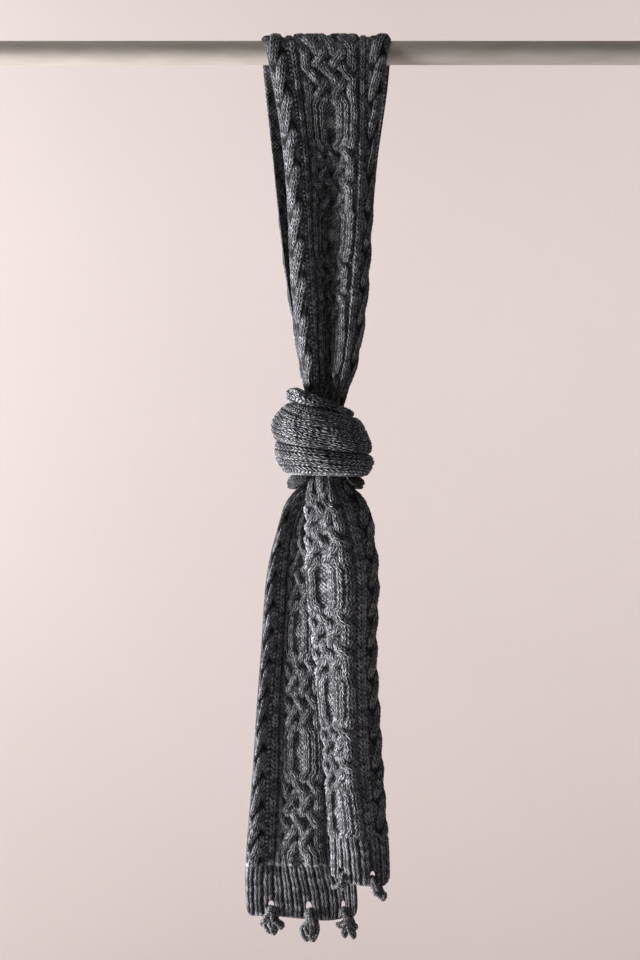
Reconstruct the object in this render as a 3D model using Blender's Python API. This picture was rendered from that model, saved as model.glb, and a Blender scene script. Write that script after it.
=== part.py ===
"""Cable-knit scarf, doubled over a round rod and tied in one wrap knot, with two tasselled tails.

Tables and functions are in millimetres; the meshes are in metres, +Z up. The origin is on the
rod's axis, the front of the scarf faces -Y and the scarf hangs along -Z.
"""
import math
from collections import namedtuple

import bmesh
import bpy
import numpy as np

MM = 0.001

# ---------------------------------------------------------------- driving sizes, millimetres
ROD_RADIUS = 12.0
ROD_LENGTH = 700.0
ROD_SIDES = 40

SCARF_WIDTH = 130.0
WALL = 2.6                  # knitted ground between the raised columns
SEAM = 0.3                  # gap between neighbouring pieces
ROD_GAP = 0.5

ROPE_WIDTH = 22.0           # two-strand cable along each long edge
ROPE_INSET = 0.5
ROPE_HEIGHT = 4.2
ROPE_STRAND = 0.56          # a strand's width and how far it swings, as shares of the rope's width
ROPE_SWING = 0.24
ROPE_LIFT = (0.66, 0.34)    # a strand's mean height, and its rise and fall, as shares
ROPE_SKEW = 0.35            # lengthens the visible runs between crossings
RIB_CENTRE = 36.5           # single rib between a rope and the panel
RIB_WIDTH = 7.0
RIB_HEIGHT = 2.4
LANES = 6                   # strands of the middle plait
LANE_PITCH = 9.8
STRAND_WIDTH = 10.8
PLAIT_HEIGHT = 3.5
PLAIT_OVER = 0.22           # rise of the strand that passes over, as a share of its height
PLAIT_UNDER = 0.5           # dip of the strand that passes under
OVAL_LANES = (11.5, 19.0, 26.5)   # strand places beside an open oval
CROSSING_SHARE = 0.14       # one row of crossings, as a share of the pattern repeat
CROSSINGS = 4               # rows of crossings in one braid
OPENING_SHARE = 0.6         # how quickly an oval opens, in rows of crossings
BOBBLE_HEIGHT = 2.6
BOBBLE_SIZE = 4.2
CELL_REACH = (1.2, 2.3)     # distance over which the relief is averaged, across and down

END_RIBS = 13               # ribs across a ribbed end
END_RIB_HEIGHT = 2.8
RIBBING_BLEND = 6.0
HEM_SHARE = 0.35            # share of the ribs' height left at the hem

PRESSED_SHARE = 0.3         # share of the relief's height left inside the knot
PRESSED = 25.0              # length of a stretch's end that the knot presses
PRESSED_BLEND = 35.0
STEADY_NORMALS = 0.9        # how far the wall of a deeply folded drop keeps to its mean direction

HALF = SCARF_WIDTH / 2
WRAP_RADIUS = ROD_RADIUS + ROD_GAP    # the cloth's plain side on the rod

# ---------------------------------------------------------------- sections of the hanging cloth
# Each row is one level section: its height z, then the (x, y) of the plain side on each fold line.
FOLD_LINES = (-65.0, -43.0, -31.0, -15.0, 0.0, 31.0, 43.0, 65.0)
Section = namedtuple(
    "Section", "z left_edge left_rope left_panel left_inner middle right_panel right_rope right_edge")

DROP_FRONT = (
    Section(0, (-60, -12.5), (-40, -12.5), (-28, -12.5), (-13, -12.5), (1, -12.5),
            (31, -12.5), (42, -12.5), (61, -12.5)),
    Section(-35, (-53, -9), (-35, -13.5), (-24, -11), (-10, -10.5), (3, -10.5),
            (31, -12.5), (41, -12.5), (57, -10)),
    Section(-100, (-43, -7), (-27, -15.5), (-18, -11.5), (-7, -7.5), (5.5, -5),
            (30, -15), (39, -14), (48.5, -6)),
    Section(-175, (-37.5, -7), (-23, -17.5), (-16, -11), (-7, -3), (5.5, 0.5),
            (27, -16.5), (35.5, -15), (42.5, -3)),
    Section(-250, (-33, -8), (-19, -19.5), (-12, -12), (-5.5, -3), (5, 0.5),
            (21.5, -17), (30, -15.5), (37.5, -3)),
    Section(-315, (-22.5, -9), (-14, -18), (-9.5, -13), (-3, -6.5), (4.5, -4.5),
            (15, -15), (21, -14), (26, -4)),
    Section(-340, (-18.5, -9), (-12.5, -14.5), (-9, -12), (-3.5, -8.5), (2.5, -8),
            (10.5, -12), (15, -12), (19, -5)),
    Section(-372, (-14, -8), (-10, -11), (-7, -10.5), (-3, -8.5), (0, -8),
            (4, -8.5), (6.5, -9), (8.5, -5)),
)
DROP_BACK = (
    Section(0, (-65, 12.5), (-44, 12.5), (-32, 12.5), (-15, 12.5), (0.5, 12.5),
            (31, 12.5), (43, 12.5), (64.5, 12.5)),
    Section(-35, (-61.5, 10), (-43, 12.5), (-32, 12), (-15, 11), (0, 10.5),
            (29, 12), (41, 12.5), (61, 9)),
    Section(-100, (-54, 6), (-39, 13), (-29, 11), (-14, 8), (-1, 7),
            (24, 12), (36, 12.5), (51.5, 5)),
    Section(-175, (-45.5, 4), (-34.5, 14), (-25, 11), (-12, 7), (-1, 6),
            (20, 12), (31, 14), (44.5, 4)),
    Section(-250, (-35, 3), (-27, 15), (-19, 12), (-9, 7), (0, 5),
            (16, 13), (25, 15), (36.5, 3)),
    Section(-315, (-23, 3), (-18.5, 13), (-12, 11.5), (-6, 7), (0, 5),
            (10, 12), (17, 13), (25, 3)),
    Section(-340, (-19, 4), (-15.5, 10.5), (-10.5, 10.5), (-5, 7), (-1, 5.5),
            (7, 10), (12, 10.5), (17, 4)),
    Section(-372, (-14, 5), (-12, 9.5), (-8, 9), (-5, 7), (-1, 6),
            (3, 8), (5.5, 9), (8.5, 5)),
)
TAIL_FRONT = (
    Section(-398, (8, 1), (-2, 1), (-6, 0), (-11, -5), (-6, -10),
            (3, -11), (9, -9), (15, 0)),
    Section(-434, (12, 0.5), (-2, 0.5), (-9, -0.5), (-15, -7.5), (-8, -13),
            (6, -16.5), (14.5, -12.5), (23, 0)),
    Section(-452, (14.5, -2.5), (0, -1.5), (-8, -2.5), (-15.5, -8), (-7, -14),
            (12, -19.5), (24, -14.5), (38.5, 0)),
    Section(-480, (18, -6), (2, -5.5), (-8, -5), (-15.3, -8.5), (-5, -15),
            (20, -22.5), (32, -15.5), (45, 1)),
    Section(-508, (22, -8.5), (4, -7.5), (-7, -6.5), (-15, -9), (-3, -15),
            (24.5, -24), (37, -15.5), (48, 0)),
    Section(-580, (27, -10), (9, -8.5), (-2, -7.5), (-9.5, -10.5), (1, -16),
            (26, -25), (37, -16.5), (47, -2)),
    Section(-647, (34, -9), (16, -8), (4, -7.5), (-2, -10), (6.5, -15.5),
            (26.5, -24), (38.5, -15.5), (49, -1)),
    Section(-755, (40, -7.5), (22, -7), (12, -7), (6.5, -9.5), (12, -14),
            (33, -22), (44.5, -15), (56.5, -1)),
    Section(-800, (42, -6.5), (25, -6), (15, -6), (9, -9), (15, -14),
            (38, -19), (49, -13.5), (59, -3)),
    Section(-830, (42, -6), (26, -5.5), (17, -5.5), (9, -8.5), (15, -13.5),
            (40, -16.5), (50.5, -12), (59.5, -3)),
)
TAIL_BACK = (
    Section(-398, (-17, 9), (-13, 8), (-10, 8.5), (-7, 9), (-4, 10),
            (3, 13), (7, 14), (13, 15)),
    Section(-430, (-22, 10), (-18, 9), (-15, 10), (-11, 11), (-7, 12),
            (3, 16), (8.5, 17.5), (16, 18)),
    Section(-446, (-37, 10), (-29.5, 9), (-24, 11), (-18.5, 11.5), (-12.5, 12.5),
            (1, 16.5), (8, 18), (18, 18.5)),
    Section(-462, (-45, 8.5), (-38, 9.5), (-31, 12.5), (-25, 12), (-18, 12),
            (-1, 14.5), (8, 17.5), (21, 19)),
    Section(-508, (-58, 6), (-49, 10.5), (-39.5, 15.5), (-32, 14), (-24, 11),
            (-4, 9.5), (6, 13), (25, 17)),
    Section(-580, (-65, 6), (-54, 11), (-43, 16.5), (-35, 14), (-27, 9.8),
            (-6, 8.3), (5, 11.5), (25, 15)),
    Section(-647, (-70, 5.5), (-59, 10.5), (-46, 16), (-36, 13), (-27, 9),
            (-5, 8.3), (6, 11.5), (27, 15)),
    Section(-740, (-76, 6), (-62, 10), (-48, 14.5), (-38, 12), (-27, 8.5),
            (-3, 8.3), (8, 11.5), (29, 15)),
    Section(-812, (-81, 6), (-63, 8), (-51, 11), (-38, 9), (-26, 7),
            (-1, 8.5), (9, 11), (27, 14)),
    Section(-846, (-80.5, 5), (-62, 4), (-49, 5), (-34, 5), (-21, 6),
            (7, 9), (17, 9), (31.5, 5)),
    Section(-866, (-79, 4), (-61, 3), (-48, 4), (-33, 4), (-19, 4),
            (8, 6), (18, 5), (31, 2)),
)
# How far a hem lies above its last section at each fold line, and how round its two corners are.
Hem = namedtuple("Hem", "rise left_round right_round")
HEMS = {
    "tail_front": Hem((3.0, 5.0, 7.0, 8.0, 5.0, -0.5, -1.5, -1.0), 5.0, 14.0),
    "tail_back": Hem((3.0, 2.5, 2.0, 0.5, -1.0, -2.0, 0.0, 2.0), 7.0, 9.0),
}
HEM_REACH = 30.0            # height above the hem over which its line fades out

# The pattern of each stretch: height of one bobble, the repeat, and the rope's crossing pitch.
Pattern = namedtuple("Pattern", "bobble repeat rope_pitch rope_start")
DROP_PATTERN = Pattern(bobble=-71.0, repeat=111.0, rope_pitch=37.0, rope_start=-9.0)
TAIL_FRONT_PATTERN = Pattern(bobble=-533.0, repeat=112.0, rope_pitch=30.0, rope_start=-440.0)
TAIL_BACK_PATTERN = Pattern(bobble=-580.0, repeat=120.0, rope_pitch=29.0, rope_start=-440.0)
TAIL_FRONT_RIBBING = -779.0       # height where the cables turn into the ribbed end
TAIL_BACK_RIBBING = -811.0

EYELET_HEIGHT = 6.4
TAIL_BACK_EYELET_Z = -853.5
TAIL_FRONT_EYELET_Z = -819.0
EYELET_ROW = -4             # the grid row above an eyelet, counted from the hem

# ---------------------------------------------------------------- sections of the knot
# Each row is one tilted ring: the (x, z) of its left and right ends and its reach to front and back.
Ring = namedtuple("Ring", "left right front back")
KNOT = (
    Ring((-30.0, -334.0), (22.0, -357.0), -30.5, 29.5),
    Ring((-37.0, -345.0), (30.0, -366.0), -36.5, 36.0),
    Ring((-45.5, -359.0), (37.0, -381.0), -42.0, 40.0),
    Ring((-51.5, -374.0), (42.5, -394.0), -43.5, 42.0),
    Ring((-51.5, -392.0), (44.5, -406.5), -43.0, 41.0),
    Ring((-45.5, -408.0), (41.0, -416.5), -40.0, 38.0),
    Ring((-38.0, -423.0), (36.5, -425.0), -34.0, 34.0),
    Ring((-34.5, -438.0), (33.5, -438.0), -30.0, 31.0),
)
KNOT_SQUARENESS = 0.82      # under 1, so the rings are fuller than ellipses
KNOT_SIDES = 26
KNOT_TIP = (0.9, 0.0, -0.6)       # slope out of the knot at its top, its middle and its bottom

# Each wrap of the knot lies between two seams. A seam's level counts rings and sways once in a
# turn, most at its peak. Turns are in degrees from the right, the front being at 270. The raised
# rows run along a wrap, which bulges out between its seams from its start to its end.
Seam = namedtuple("Seam", "level sway peak")
Wrap = namedtuple("Wrap", "name upper lower bulge rows start end")
WRAPS = (
    Wrap("knot_roll", Seam(0.0, 0.0, 0), Seam(1.0, 0.28, 190), 2.6, 1, 0, 360),
    Wrap("knot_band", Seam(1.03, 0.28, 190), Seam(3.66, 0.22, 240), 3.0, 4, 0, 360),
    Wrap("knot_fold", Seam(3.69, 0.22, 240), Seam(6.0, 0.0, 0), 3.0, 2, 0, 360),
    Wrap("knot_lobe_left", Seam(6.03, 0.0, 0), Seam(6.95, 0.0, 0), 3.0, 1, 92, 244),
    Wrap("knot_lobe_right", Seam(6.03, 0.0, 0), Seam(6.95, 0.0, 0), 3.0, 1, -56, 88),
)
END_SHARE = 0.25            # width left at the ends of a wrap that does not go all round
WRAP_TUCK = 2.6             # how far the edges of a wrap turn in
WRAP_ROW_HEIGHT = 0.9

# ---------------------------------------------------------------- tassels
YARN = 2.2                  # thickness of a leg of yarn
TASSEL_GAP = 0.4
HEAD_GIRTHS = (1.15, 0.8)   # the head's girth at its middle and its lower end
STRAND_STEPS = (0.3, 0.65, 1.0)
STRAND_TAPER = 0.9          # girth kept by a strand from one step to the next
STRAND_SWAY = 0.8
HEAD_COLUMNS = (-6.4, -3.8, -1.1, 1.1, 3.8, 6.4)
# Each tassel: its tail, its eyelet's grid column, how far it leans for each millimetre down, the
# height of its head and the length of its strands.
Tassel = namedtuple("Tassel", "name tail column lean head strands")
TASSELS = (
    Tassel("tassel_back_1", "tail_back", 5, 0.05, 6.0, 11.0),
    Tassel("tassel_back_2", "tail_back", 13, 0.0, 6.5, 15.0),
    Tassel("tassel_back_3", "tail_back", 21, 0.15, 6.0, 13.0),
    Tassel("tassel_front_1", "tail_front", 13, -0.3, 4.0, 6.0),
    Tassel("tassel_front_2", "tail_front", 20, 0.42, 4.0, 10.5),
)


# ---------------------------------------------------------------- smooth curves
def spline(knots, values, at):
    """Natural cubic spline through values, one row for each knot."""
    knots = np.asarray(knots, dtype=float)
    values = np.asarray(values, dtype=float)
    flat = values.reshape(len(knots), -1)
    gap = np.diff(knots)
    slope = np.diff(flat, axis=0) / gap[:, None]
    system = np.eye(len(knots))
    change = np.zeros_like(flat)
    for row in range(1, len(knots) - 1):
        system[row, row - 1:row + 2] = (gap[row - 1], 2 * (gap[row - 1] + gap[row]), gap[row])
        change[row] = 6 * (slope[row] - slope[row - 1])
    bend = np.linalg.solve(system, change)
    at = np.asarray(at, dtype=float)
    piece = np.clip(np.searchsorted(knots, at) - 1, 0, len(gap) - 1)
    width = gap[piece][:, None]
    after = at[:, None] - knots[piece][:, None]
    before = knots[piece + 1][:, None] - at[:, None]
    curve = (bend[piece] * before ** 3 + bend[piece + 1] * after ** 3) / (6 * width)
    curve += (flat[piece] / width - bend[piece] * width / 6) * before
    curve += (flat[piece + 1] / width - bend[piece + 1] * width / 6) * after
    return curve.reshape(len(at), *values.shape[1:])


def smooth_step(share):
    share = np.clip(share, 0.0, 1.0)
    return share * share * (3 - 2 * share)


def half_round(distance, width):
    """Height from 0 to 1 across a round strand of the given width."""
    return np.sqrt(np.clip(1 - (2 * distance / width) ** 2, 0.0, 1.0))


def squeeze(from_end):
    """Share of the relief that is left where the knot presses on a stretch's hidden end."""
    return PRESSED_SHARE + (1 - PRESSED_SHARE) * smooth_step((from_end - PRESSED) / PRESSED_BLEND)


# ---------------------------------------------------------------- the knitted relief
def rope_relief(side, z, pattern):
    """Two strands that wind round each other; side is the distance across from the rope's middle."""
    turn = math.pi * (pattern.rope_start - z) / pattern.rope_pitch
    turn = turn + ROPE_SKEW * np.sin(2 * turn)
    relief = np.zeros_like(turn + side)
    for strand in (0.0, math.pi):
        centre = ROPE_WIDTH * ROPE_SWING * np.cos(turn + strand)
        lift = ROPE_LIFT[0] + ROPE_LIFT[1] * np.sin(turn + strand)
        relief = np.maximum(relief, lift * half_round(side - centre, ROPE_WIDTH * ROPE_STRAND))
    return ROPE_HEIGHT * relief


def lane_places(from_braid, repeat):
    """Where the six strands run: evenly in a braid, and apart beside an open oval."""
    crossing = CROSSING_SHARE * repeat
    braid_end = crossing * CROSSINGS / 2
    opening = smooth_step((np.abs(from_braid) - braid_end) / (crossing * OPENING_SHARE))
    places = []
    for lane in range(LANES):
        sign = -1 if lane < LANES / 2 else 1
        outward = LANES // 2 - 1 - lane if sign < 0 else lane - LANES // 2
        even = sign * (outward + 0.5) * LANE_PITCH
        places.append(even + opening * (sign * OVAL_LANES[outward] - even))
    return places


def plait_relief(u, z, pattern):
    """Six strands: rows of three crossings and of two take turns, then an open oval and a bobble."""
    turn = (pattern.bobble - z) / pattern.repeat
    from_braid = pattern.repeat * (np.mod(turn, 1.0) - 0.5)
    row_place = from_braid / (CROSSING_SHARE * pattern.repeat) + CROSSINGS / 2
    row = np.floor(row_place)
    inside = (row >= 0) & (row < CROSSINGS)
    share = np.where(inside, row_place - row, 0.0)
    wide_row = np.mod(row, 2) == 0
    places = lane_places(from_braid, pattern.repeat)
    relief = np.zeros_like(u + z)
    for lane in range(LANES):
        partner_wide = lane + 1 if lane % 2 == 0 else lane - 1
        partner_narrow = min(max(lane - 1 if lane % 2 == 0 else lane + 1, 0), LANES - 1)
        partner = np.where(wide_row, places[partner_wide], places[partner_narrow])
        partner = np.where(inside, partner, places[lane])
        step = partner - places[lane]
        centre = places[lane] + step * (1 - np.cos(math.pi * share)) / 2
        over = np.where(wide_row, np.sign(step), -np.sign(step))
        change = np.where(over > 0, PLAIT_OVER, np.where(over < 0, -PLAIT_UNDER, 0.0))
        lift = 1 + change * np.sin(math.pi * share)
        relief = np.maximum(relief, lift * half_round(u - centre, STRAND_WIDTH))
    from_bobble = pattern.repeat / 2 - np.abs(from_braid)
    bobble = np.exp(-(u / BOBBLE_SIZE) ** 2 - (from_bobble / BOBBLE_SIZE) ** 2)
    return np.maximum(PLAIT_HEIGHT * relief, BOBBLE_HEIGHT * bobble)


def knit_relief(u, z, pattern, ribbing):
    """Height of the knitted columns above the ground, over the whole width."""
    side = np.abs(u)
    rope_middle = HALF - ROPE_INSET - ROPE_WIDTH / 2
    relief = rope_relief(u - np.sign(u) * rope_middle, z, pattern)
    relief = np.where(side > rope_middle - ROPE_WIDTH / 2, relief, 0.0)
    relief = np.maximum(relief, RIB_HEIGHT * half_round(side - RIB_CENTRE, RIB_WIDTH))
    panel = plait_relief(u, z, pattern)
    relief = np.where(side < RIB_CENTRE - RIB_WIDTH / 2, panel, relief)
    if ribbing is not None:
        share = smooth_step((ribbing - z) / RIBBING_BLEND)
        ribs = END_RIB_HEIGHT * np.sin(math.pi * END_RIBS * (u + HALF) / SCARF_WIDTH) ** 2
        relief = relief + share * (ribs - relief)
    return relief


def cell_relief(u, z, pattern, ribbing=None):
    """The relief averaged round each grid point, so that a coarse wall keeps the strands' form."""
    total = np.zeros_like(u)
    for across, weight_across in ((-CELL_REACH[0], 1), (0.0, 2), (CELL_REACH[0], 1)):
        for down, weight_down in ((-CELL_REACH[1], 1), (0.0, 2), (CELL_REACH[1], 1)):
            near = np.clip(u + across, -HALF, HALF)
            total += weight_across * weight_down * knit_relief(near, z + down, pattern, ribbing)
    return total / 16


# ---------------------------------------------------------------- the hanging surfaces
def section_points(sections, u, z):
    """Points of the plain side: splines down the fold lines, then across them."""
    heights = [-row.z for row in sections]
    lines = [row[1:] for row in sections]
    level = spline(heights, lines, -z[:, 0])
    points = np.zeros(u.shape + (3,))
    for row in range(u.shape[0]):
        points[row, :, :2] = spline(FOLD_LINES, level[row], u[row])
        points[row, :, 2] = z[row]
    return points


def over_rod_points(u, z, turn):
    """The hanging front drop, continued over the rod; turn is the angle back from its front."""
    hanging = section_points(DROP_FRONT, u, z)
    front = section_points(DROP_FRONT, u, np.zeros_like(u))
    back = section_points(DROP_BACK, u, np.zeros_like(u))
    on_rod = front + smooth_step(turn / (math.pi / 2))[..., None] * (back - front)
    on_rod[..., 1] = -WRAP_RADIUS * np.cos(turn)
    on_rod[..., 2] = WRAP_RADIUS * np.sin(turn)
    return np.where(turn[..., None] > 0, on_rod, hanging)


def hem_heights(name, u, z):
    """Heights of a tail's grid, drawn up near the hem so that it slopes and has round corners."""
    hem = HEMS[name]
    rise = spline(FOLD_LINES, hem.rise, u.ravel()).reshape(u.shape)
    for side, size in ((-1, hem.left_round), (1, hem.right_round)):
        inside = np.clip(1 - (HALF - side * u) / size, 0.0, 1.0)
        rise += size * (1 - np.sqrt(1 - inside ** 2))
    bottom = z.min()
    return z + rise * smooth_step((bottom + HEM_REACH - z) / HEM_REACH)


def surface_normals(points, steady=0.0):
    """Unit normals of a grid whose rows run down the front and columns run right: they face -Y.

    A steady share of each row's mean normal keeps the wall open in the bottom of a deep fold.
    """
    normals = np.cross(np.gradient(points, axis=0), np.gradient(points, axis=1))
    normals /= np.linalg.norm(normals, axis=2, keepdims=True)
    normals += steady * normals.mean(axis=1, keepdims=True)
    return normals / np.linalg.norm(normals, axis=2, keepdims=True)


# ---------------------------------------------------------------- cloth walls
def cable_columns():
    """Places across the scarf: five steps to a rope, three to a rib, twelve to the panel."""
    rope_end = HALF - ROPE_INSET - ROPE_WIDTH
    left = list(np.linspace(-HALF, -rope_end, 6)) + [-RIB_CENTRE, -RIB_CENTRE + RIB_WIDTH / 2]
    panel = np.linspace(left[-1], -left[-1], 13)
    return np.array(left + list(panel[1:-1]) + [-place for place in reversed(left)])


def cloth_columns(heights, ribbing):
    """Columns of every row, sliding from the cables' places to the ribs' places."""
    cables = cable_columns()
    ribs = np.linspace(-HALF, HALF, len(cables))
    share = np.zeros(len(heights))
    if ribbing is not None:
        share = smooth_step((ribbing - heights) / RIBBING_BLEND + 0.5)
    return cables[None, :] + share[:, None] * (ribs - cables)[None, :]


def grid_rows(top, bottom, pattern, coarse_step):
    """Heights of the rows: two to each row of crossings, fewer beside an open oval."""
    crossing = CROSSING_SHARE * pattern.repeat
    braid_half = crossing * CROSSINGS / 2
    heights = [top]
    while heights[-1] > bottom + 4.0:
        from_braid = pattern.repeat * (((pattern.bobble - heights[-1]) / pattern.repeat) % 1.0 - 0.5)
        inside = -braid_half - 1 < from_braid < braid_half - 1
        heights.append(heights[-1] - (crossing / 2 if inside else coarse_step))
    heights[-1] = bottom
    return heights


def side_faces(bm, points, columns_kept, rows_kept, holes):
    """One side of a wall: a grid over the kept rows and columns, without the cells of the holes."""
    rows = len(rows_kept)
    columns = len(columns_kept)
    made = bmesh.ops.create_grid(bm, x_segments=columns - 1, y_segments=rows - 1, size=1.0)["verts"]
    grid = {}
    for index, vert in enumerate(made):
        place = (rows_kept[index // columns], columns_kept[index % columns])
        vert.co = points[place] * MM
        grid[place] = vert
    for row, column in holes:
        corners = {grid[row + down, column + across] for down in (0, 1) for across in (0, 1)}
        face = next(face for face in grid[row, column].link_faces if set(face.verts) == corners)
        bm.faces.remove(face)
    return grid


def split_cells(grid, relief, holes):
    """Split the outer cells along the raised strands, so that diagonals stay crisp."""
    rows, columns = relief.shape
    for row in range(rows - 1):
        for column in range(columns - 1):
            if (row, column) in holes:
                continue
            falling = ((row, column), (row + 1, column + 1))
            rising = ((row, column + 1), (row + 1, column))
            ends = max((falling, rising), key=lambda pair: relief[pair[0]] + relief[pair[1]])
            first, second = (grid[place] for place in ends)
            face = next(face for face in first.link_faces if second in face.verts)
            bmesh.utils.face_split(face, first, second)


def join_rims(bm, outer, inner, path):
    """Close the wall along a rim; path lists grid places, of which the inner side has only some."""
    run = [path[0]]
    for place in path[1:]:
        run.append(place)
        if place in inner:
            bm.faces.new([outer[step] for step in run] + [inner[place], inner[run[0]]])
            run = [place]


def build_wall(name, outer_points, inner_points, relief, holes=(), fine_rows=(), inner_step=3):
    """A cloth wall: raised outer side, plain coarse inner side, closed rims and eyelets."""
    rows, columns = relief.shape
    hole_rows = {row + step for row, _ in holes for step in (0, 1)}
    hole_columns = {column + step for _, column in holes for step in (0, 1)}
    rows_kept = sorted(set(range(0, rows, inner_step)) | {rows - 1} | hole_rows | set(fine_rows))
    columns_kept = sorted(set(range(0, columns, 2)) | {columns - 1} | hole_columns)
    bm = bmesh.new()
    outer = side_faces(bm, outer_points, range(columns), range(rows), holes)
    inner = side_faces(bm, inner_points, columns_kept, rows_kept, holes)
    split_cells(outer, relief, holes)
    around = [(0, column) for column in range(columns)]
    around += [(row, columns - 1) for row in range(1, rows)]
    around += [(rows - 1, column) for column in range(columns - 2, -1, -1)]
    around += [(row, 0) for row in range(rows - 2, -1, -1)]
    join_rims(bm, outer, inner, around)
    for row, column in holes:
        corners = ((0, 0), (0, 1), (1, 1), (1, 0), (0, 0))
        join_rims(bm, outer, inner, [(row + down, column + across) for down, across in corners])
    return finish_object(name, bm)


def finish_object(name, bm):
    """Point every face out and make the object."""
    bmesh.ops.recalc_face_normals(bm, faces=bm.faces)
    if bm.calc_volume(signed=True) < 0:
        bmesh.ops.reverse_faces(bm, faces=bm.faces)
    mesh = bpy.data.meshes.new(name)
    bm.to_mesh(mesh)
    bm.free()
    mesh.shade_smooth()
    mesh.set_sharp_from_angle(angle=math.radians(50))
    return bpy.data.objects.new(name, mesh)


# ---------------------------------------------------------------- the stretches
def spread_rows(values, columns):
    """One value for each row, repeated over the columns."""
    return np.repeat(np.asarray(values, dtype=float)[:, None], columns, axis=1)


def drop_front():
    """From the back of the rod over its top and down the front, into the knot."""
    turns = np.linspace(math.pi - SEAM / WRAP_RADIUS, 0.0, 9)
    heights = grid_rows(-8.0, DROP_FRONT[-1].z, DROP_PATTERN, 11.0)
    rows = np.concatenate([np.zeros(len(turns)), heights])
    u = cloth_columns(rows, None)
    z = spread_rows(rows, u.shape[1])
    turn = spread_rows(np.concatenate([turns, np.zeros(len(heights))]), u.shape[1])
    relief = cell_relief(u, z + turn * (WRAP_RADIUS + WALL), DROP_PATTERN)
    relief *= squeeze(z - DROP_FRONT[-1].z)
    plain = over_rod_points(u, z, turn)
    outer = plain + surface_normals(plain, STEADY_NORMALS) * (WALL + relief)[..., None]
    return build_wall("drop_front", outer, plain, relief, fine_rows=range(len(turns)))


def drop_back():
    """From the back of the rod down behind the front drop, into the knot."""
    rows = np.array([0.0, -5.0] + grid_rows(-12.0, DROP_BACK[-1].z, DROP_PATTERN, 12.0))
    u = cloth_columns(rows, None)
    z = spread_rows(rows, u.shape[1])
    relief = cell_relief(u, math.pi * (WRAP_RADIUS + WALL) - z, DROP_PATTERN)
    relief *= squeeze(z - DROP_BACK[-1].z)
    plain = section_points(DROP_BACK, u, z)
    outer = plain - surface_normals(plain, STEADY_NORMALS) * (WALL + relief)[..., None]
    return build_wall("drop_back", outer, plain, relief)


def tail(name, sections, pattern, ribbing, eyelet_z):
    """A tail with its ribbed end; eyelets are single cells left open through the wall."""
    top = sections[0].z
    hem = sections[-1].z
    heights = grid_rows(top, ribbing + 3.0, pattern, 11.0)
    heights += [ribbing - 3.0, ribbing - 10.0, (ribbing - 10.0 + eyelet_z) / 2]
    heights += [eyelet_z + EYELET_HEIGHT / 2, eyelet_z - EYELET_HEIGHT / 2, hem + 2.0, hem]
    rows = np.array(heights)
    u = cloth_columns(rows, ribbing)
    z = spread_rows(rows, u.shape[1])
    relief = cell_relief(u, z, pattern, ribbing)
    relief *= squeeze(top - z)
    relief[-1] *= HEM_SHARE
    plain = section_points(sections, u, z)
    plain[..., 2] = hem_heights(name, u, z)
    outer = plain + surface_normals(plain) * (WALL + relief)[..., None]
    columns = [design.column for design in TASSELS if design.tail == name]
    holes = [(len(rows) + EYELET_ROW, column) for column in columns]
    return build_wall(name, outer, plain, relief, holes), (outer, plain)


# ---------------------------------------------------------------- the knot
def knot_points(turn, level, outward):
    """Points on the knot's form at turns round it and ring levels, moved out by a distance."""
    table = [(*ring.left, *ring.right, ring.front, ring.back) for ring in KNOT]
    rings = spline(range(len(KNOT)), table, level.ravel()).reshape(level.shape + (6,))
    left_x, left_z, right_x, right_z, front, back = np.moveaxis(rings, -1, 0)
    across = np.sign(np.cos(turn)) * np.abs(np.cos(turn)) ** KNOT_SQUARENESS
    deep = np.sign(np.sin(turn)) * np.abs(np.sin(turn)) ** KNOT_SQUARENESS
    x = (left_x + right_x) / 2 + (right_x - left_x) / 2 * across
    y = (front + back) / 2 + (back - front) / 2 * deep
    z = (left_z + right_z) / 2 + (right_z - left_z) / 2 * across
    return np.stack([x, y, z], axis=-1) + knot_normals(turn, level) * outward[..., None]


def knot_normals(turn, level):
    """Directions out of the knot: level round its middle, tipped up at its top and down below."""
    last = len(KNOT) - 1
    tip = spline((0, last / 2, last), KNOT_TIP, level.ravel()).reshape(level.shape)
    normals = np.stack([np.cos(turn) + 0 * tip, np.sin(turn) + 0 * tip, tip], axis=-1)
    return normals / np.linalg.norm(normals, axis=2, keepdims=True)


def wrap_taper(wrap, turn):
    """Share of its full width that a wrap has at a turn: 1 all round, or less towards its ends."""
    if wrap.end - wrap.start == 360:
        return np.ones_like(turn)
    along = (np.degrees(turn) - wrap.start) / (wrap.end - wrap.start)
    return END_SHARE + (1 - END_SHARE) * np.sin(math.pi * along) ** 0.7


def wrap_levels(wrap, turn, share):
    """Ring levels across a wrap, from its upper seam to its lower one."""
    upper, lower = (seam.level + seam.sway * np.cos(turn - math.radians(seam.peak))
                    for seam in (wrap.upper, wrap.lower))
    return upper + (lower - upper) * wrap_taper(wrap, turn) * share


def wrap_outward(wrap, turn, share, rows):
    """How far a wrap stands out of the knot's form, less where it is narrow."""
    width = wrap_levels(wrap, turn, 1.0) - wrap_levels(wrap, turn, 0.0)
    fullness = width / (wrap.lower.level - wrap.upper.level)
    crown = np.sin(math.pi * share) ** 0.5
    ridges = WRAP_ROW_HEIGHT * np.sin(math.pi * rows * share) ** 2
    return fullness * ((WRAP_TUCK + wrap.bulge) * crown + ridges) - WRAP_TUCK


def wrap_side(wrap, turns, shares, rows, inward):
    """One side of a wrap's wall as a grid of points: shares across it by turns along it."""
    turn, share = np.meshgrid(turns, shares)
    outward = wrap_outward(wrap, turn, share, rows) - inward
    return knot_points(turn, wrap_levels(wrap, turn, share), outward)


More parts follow.
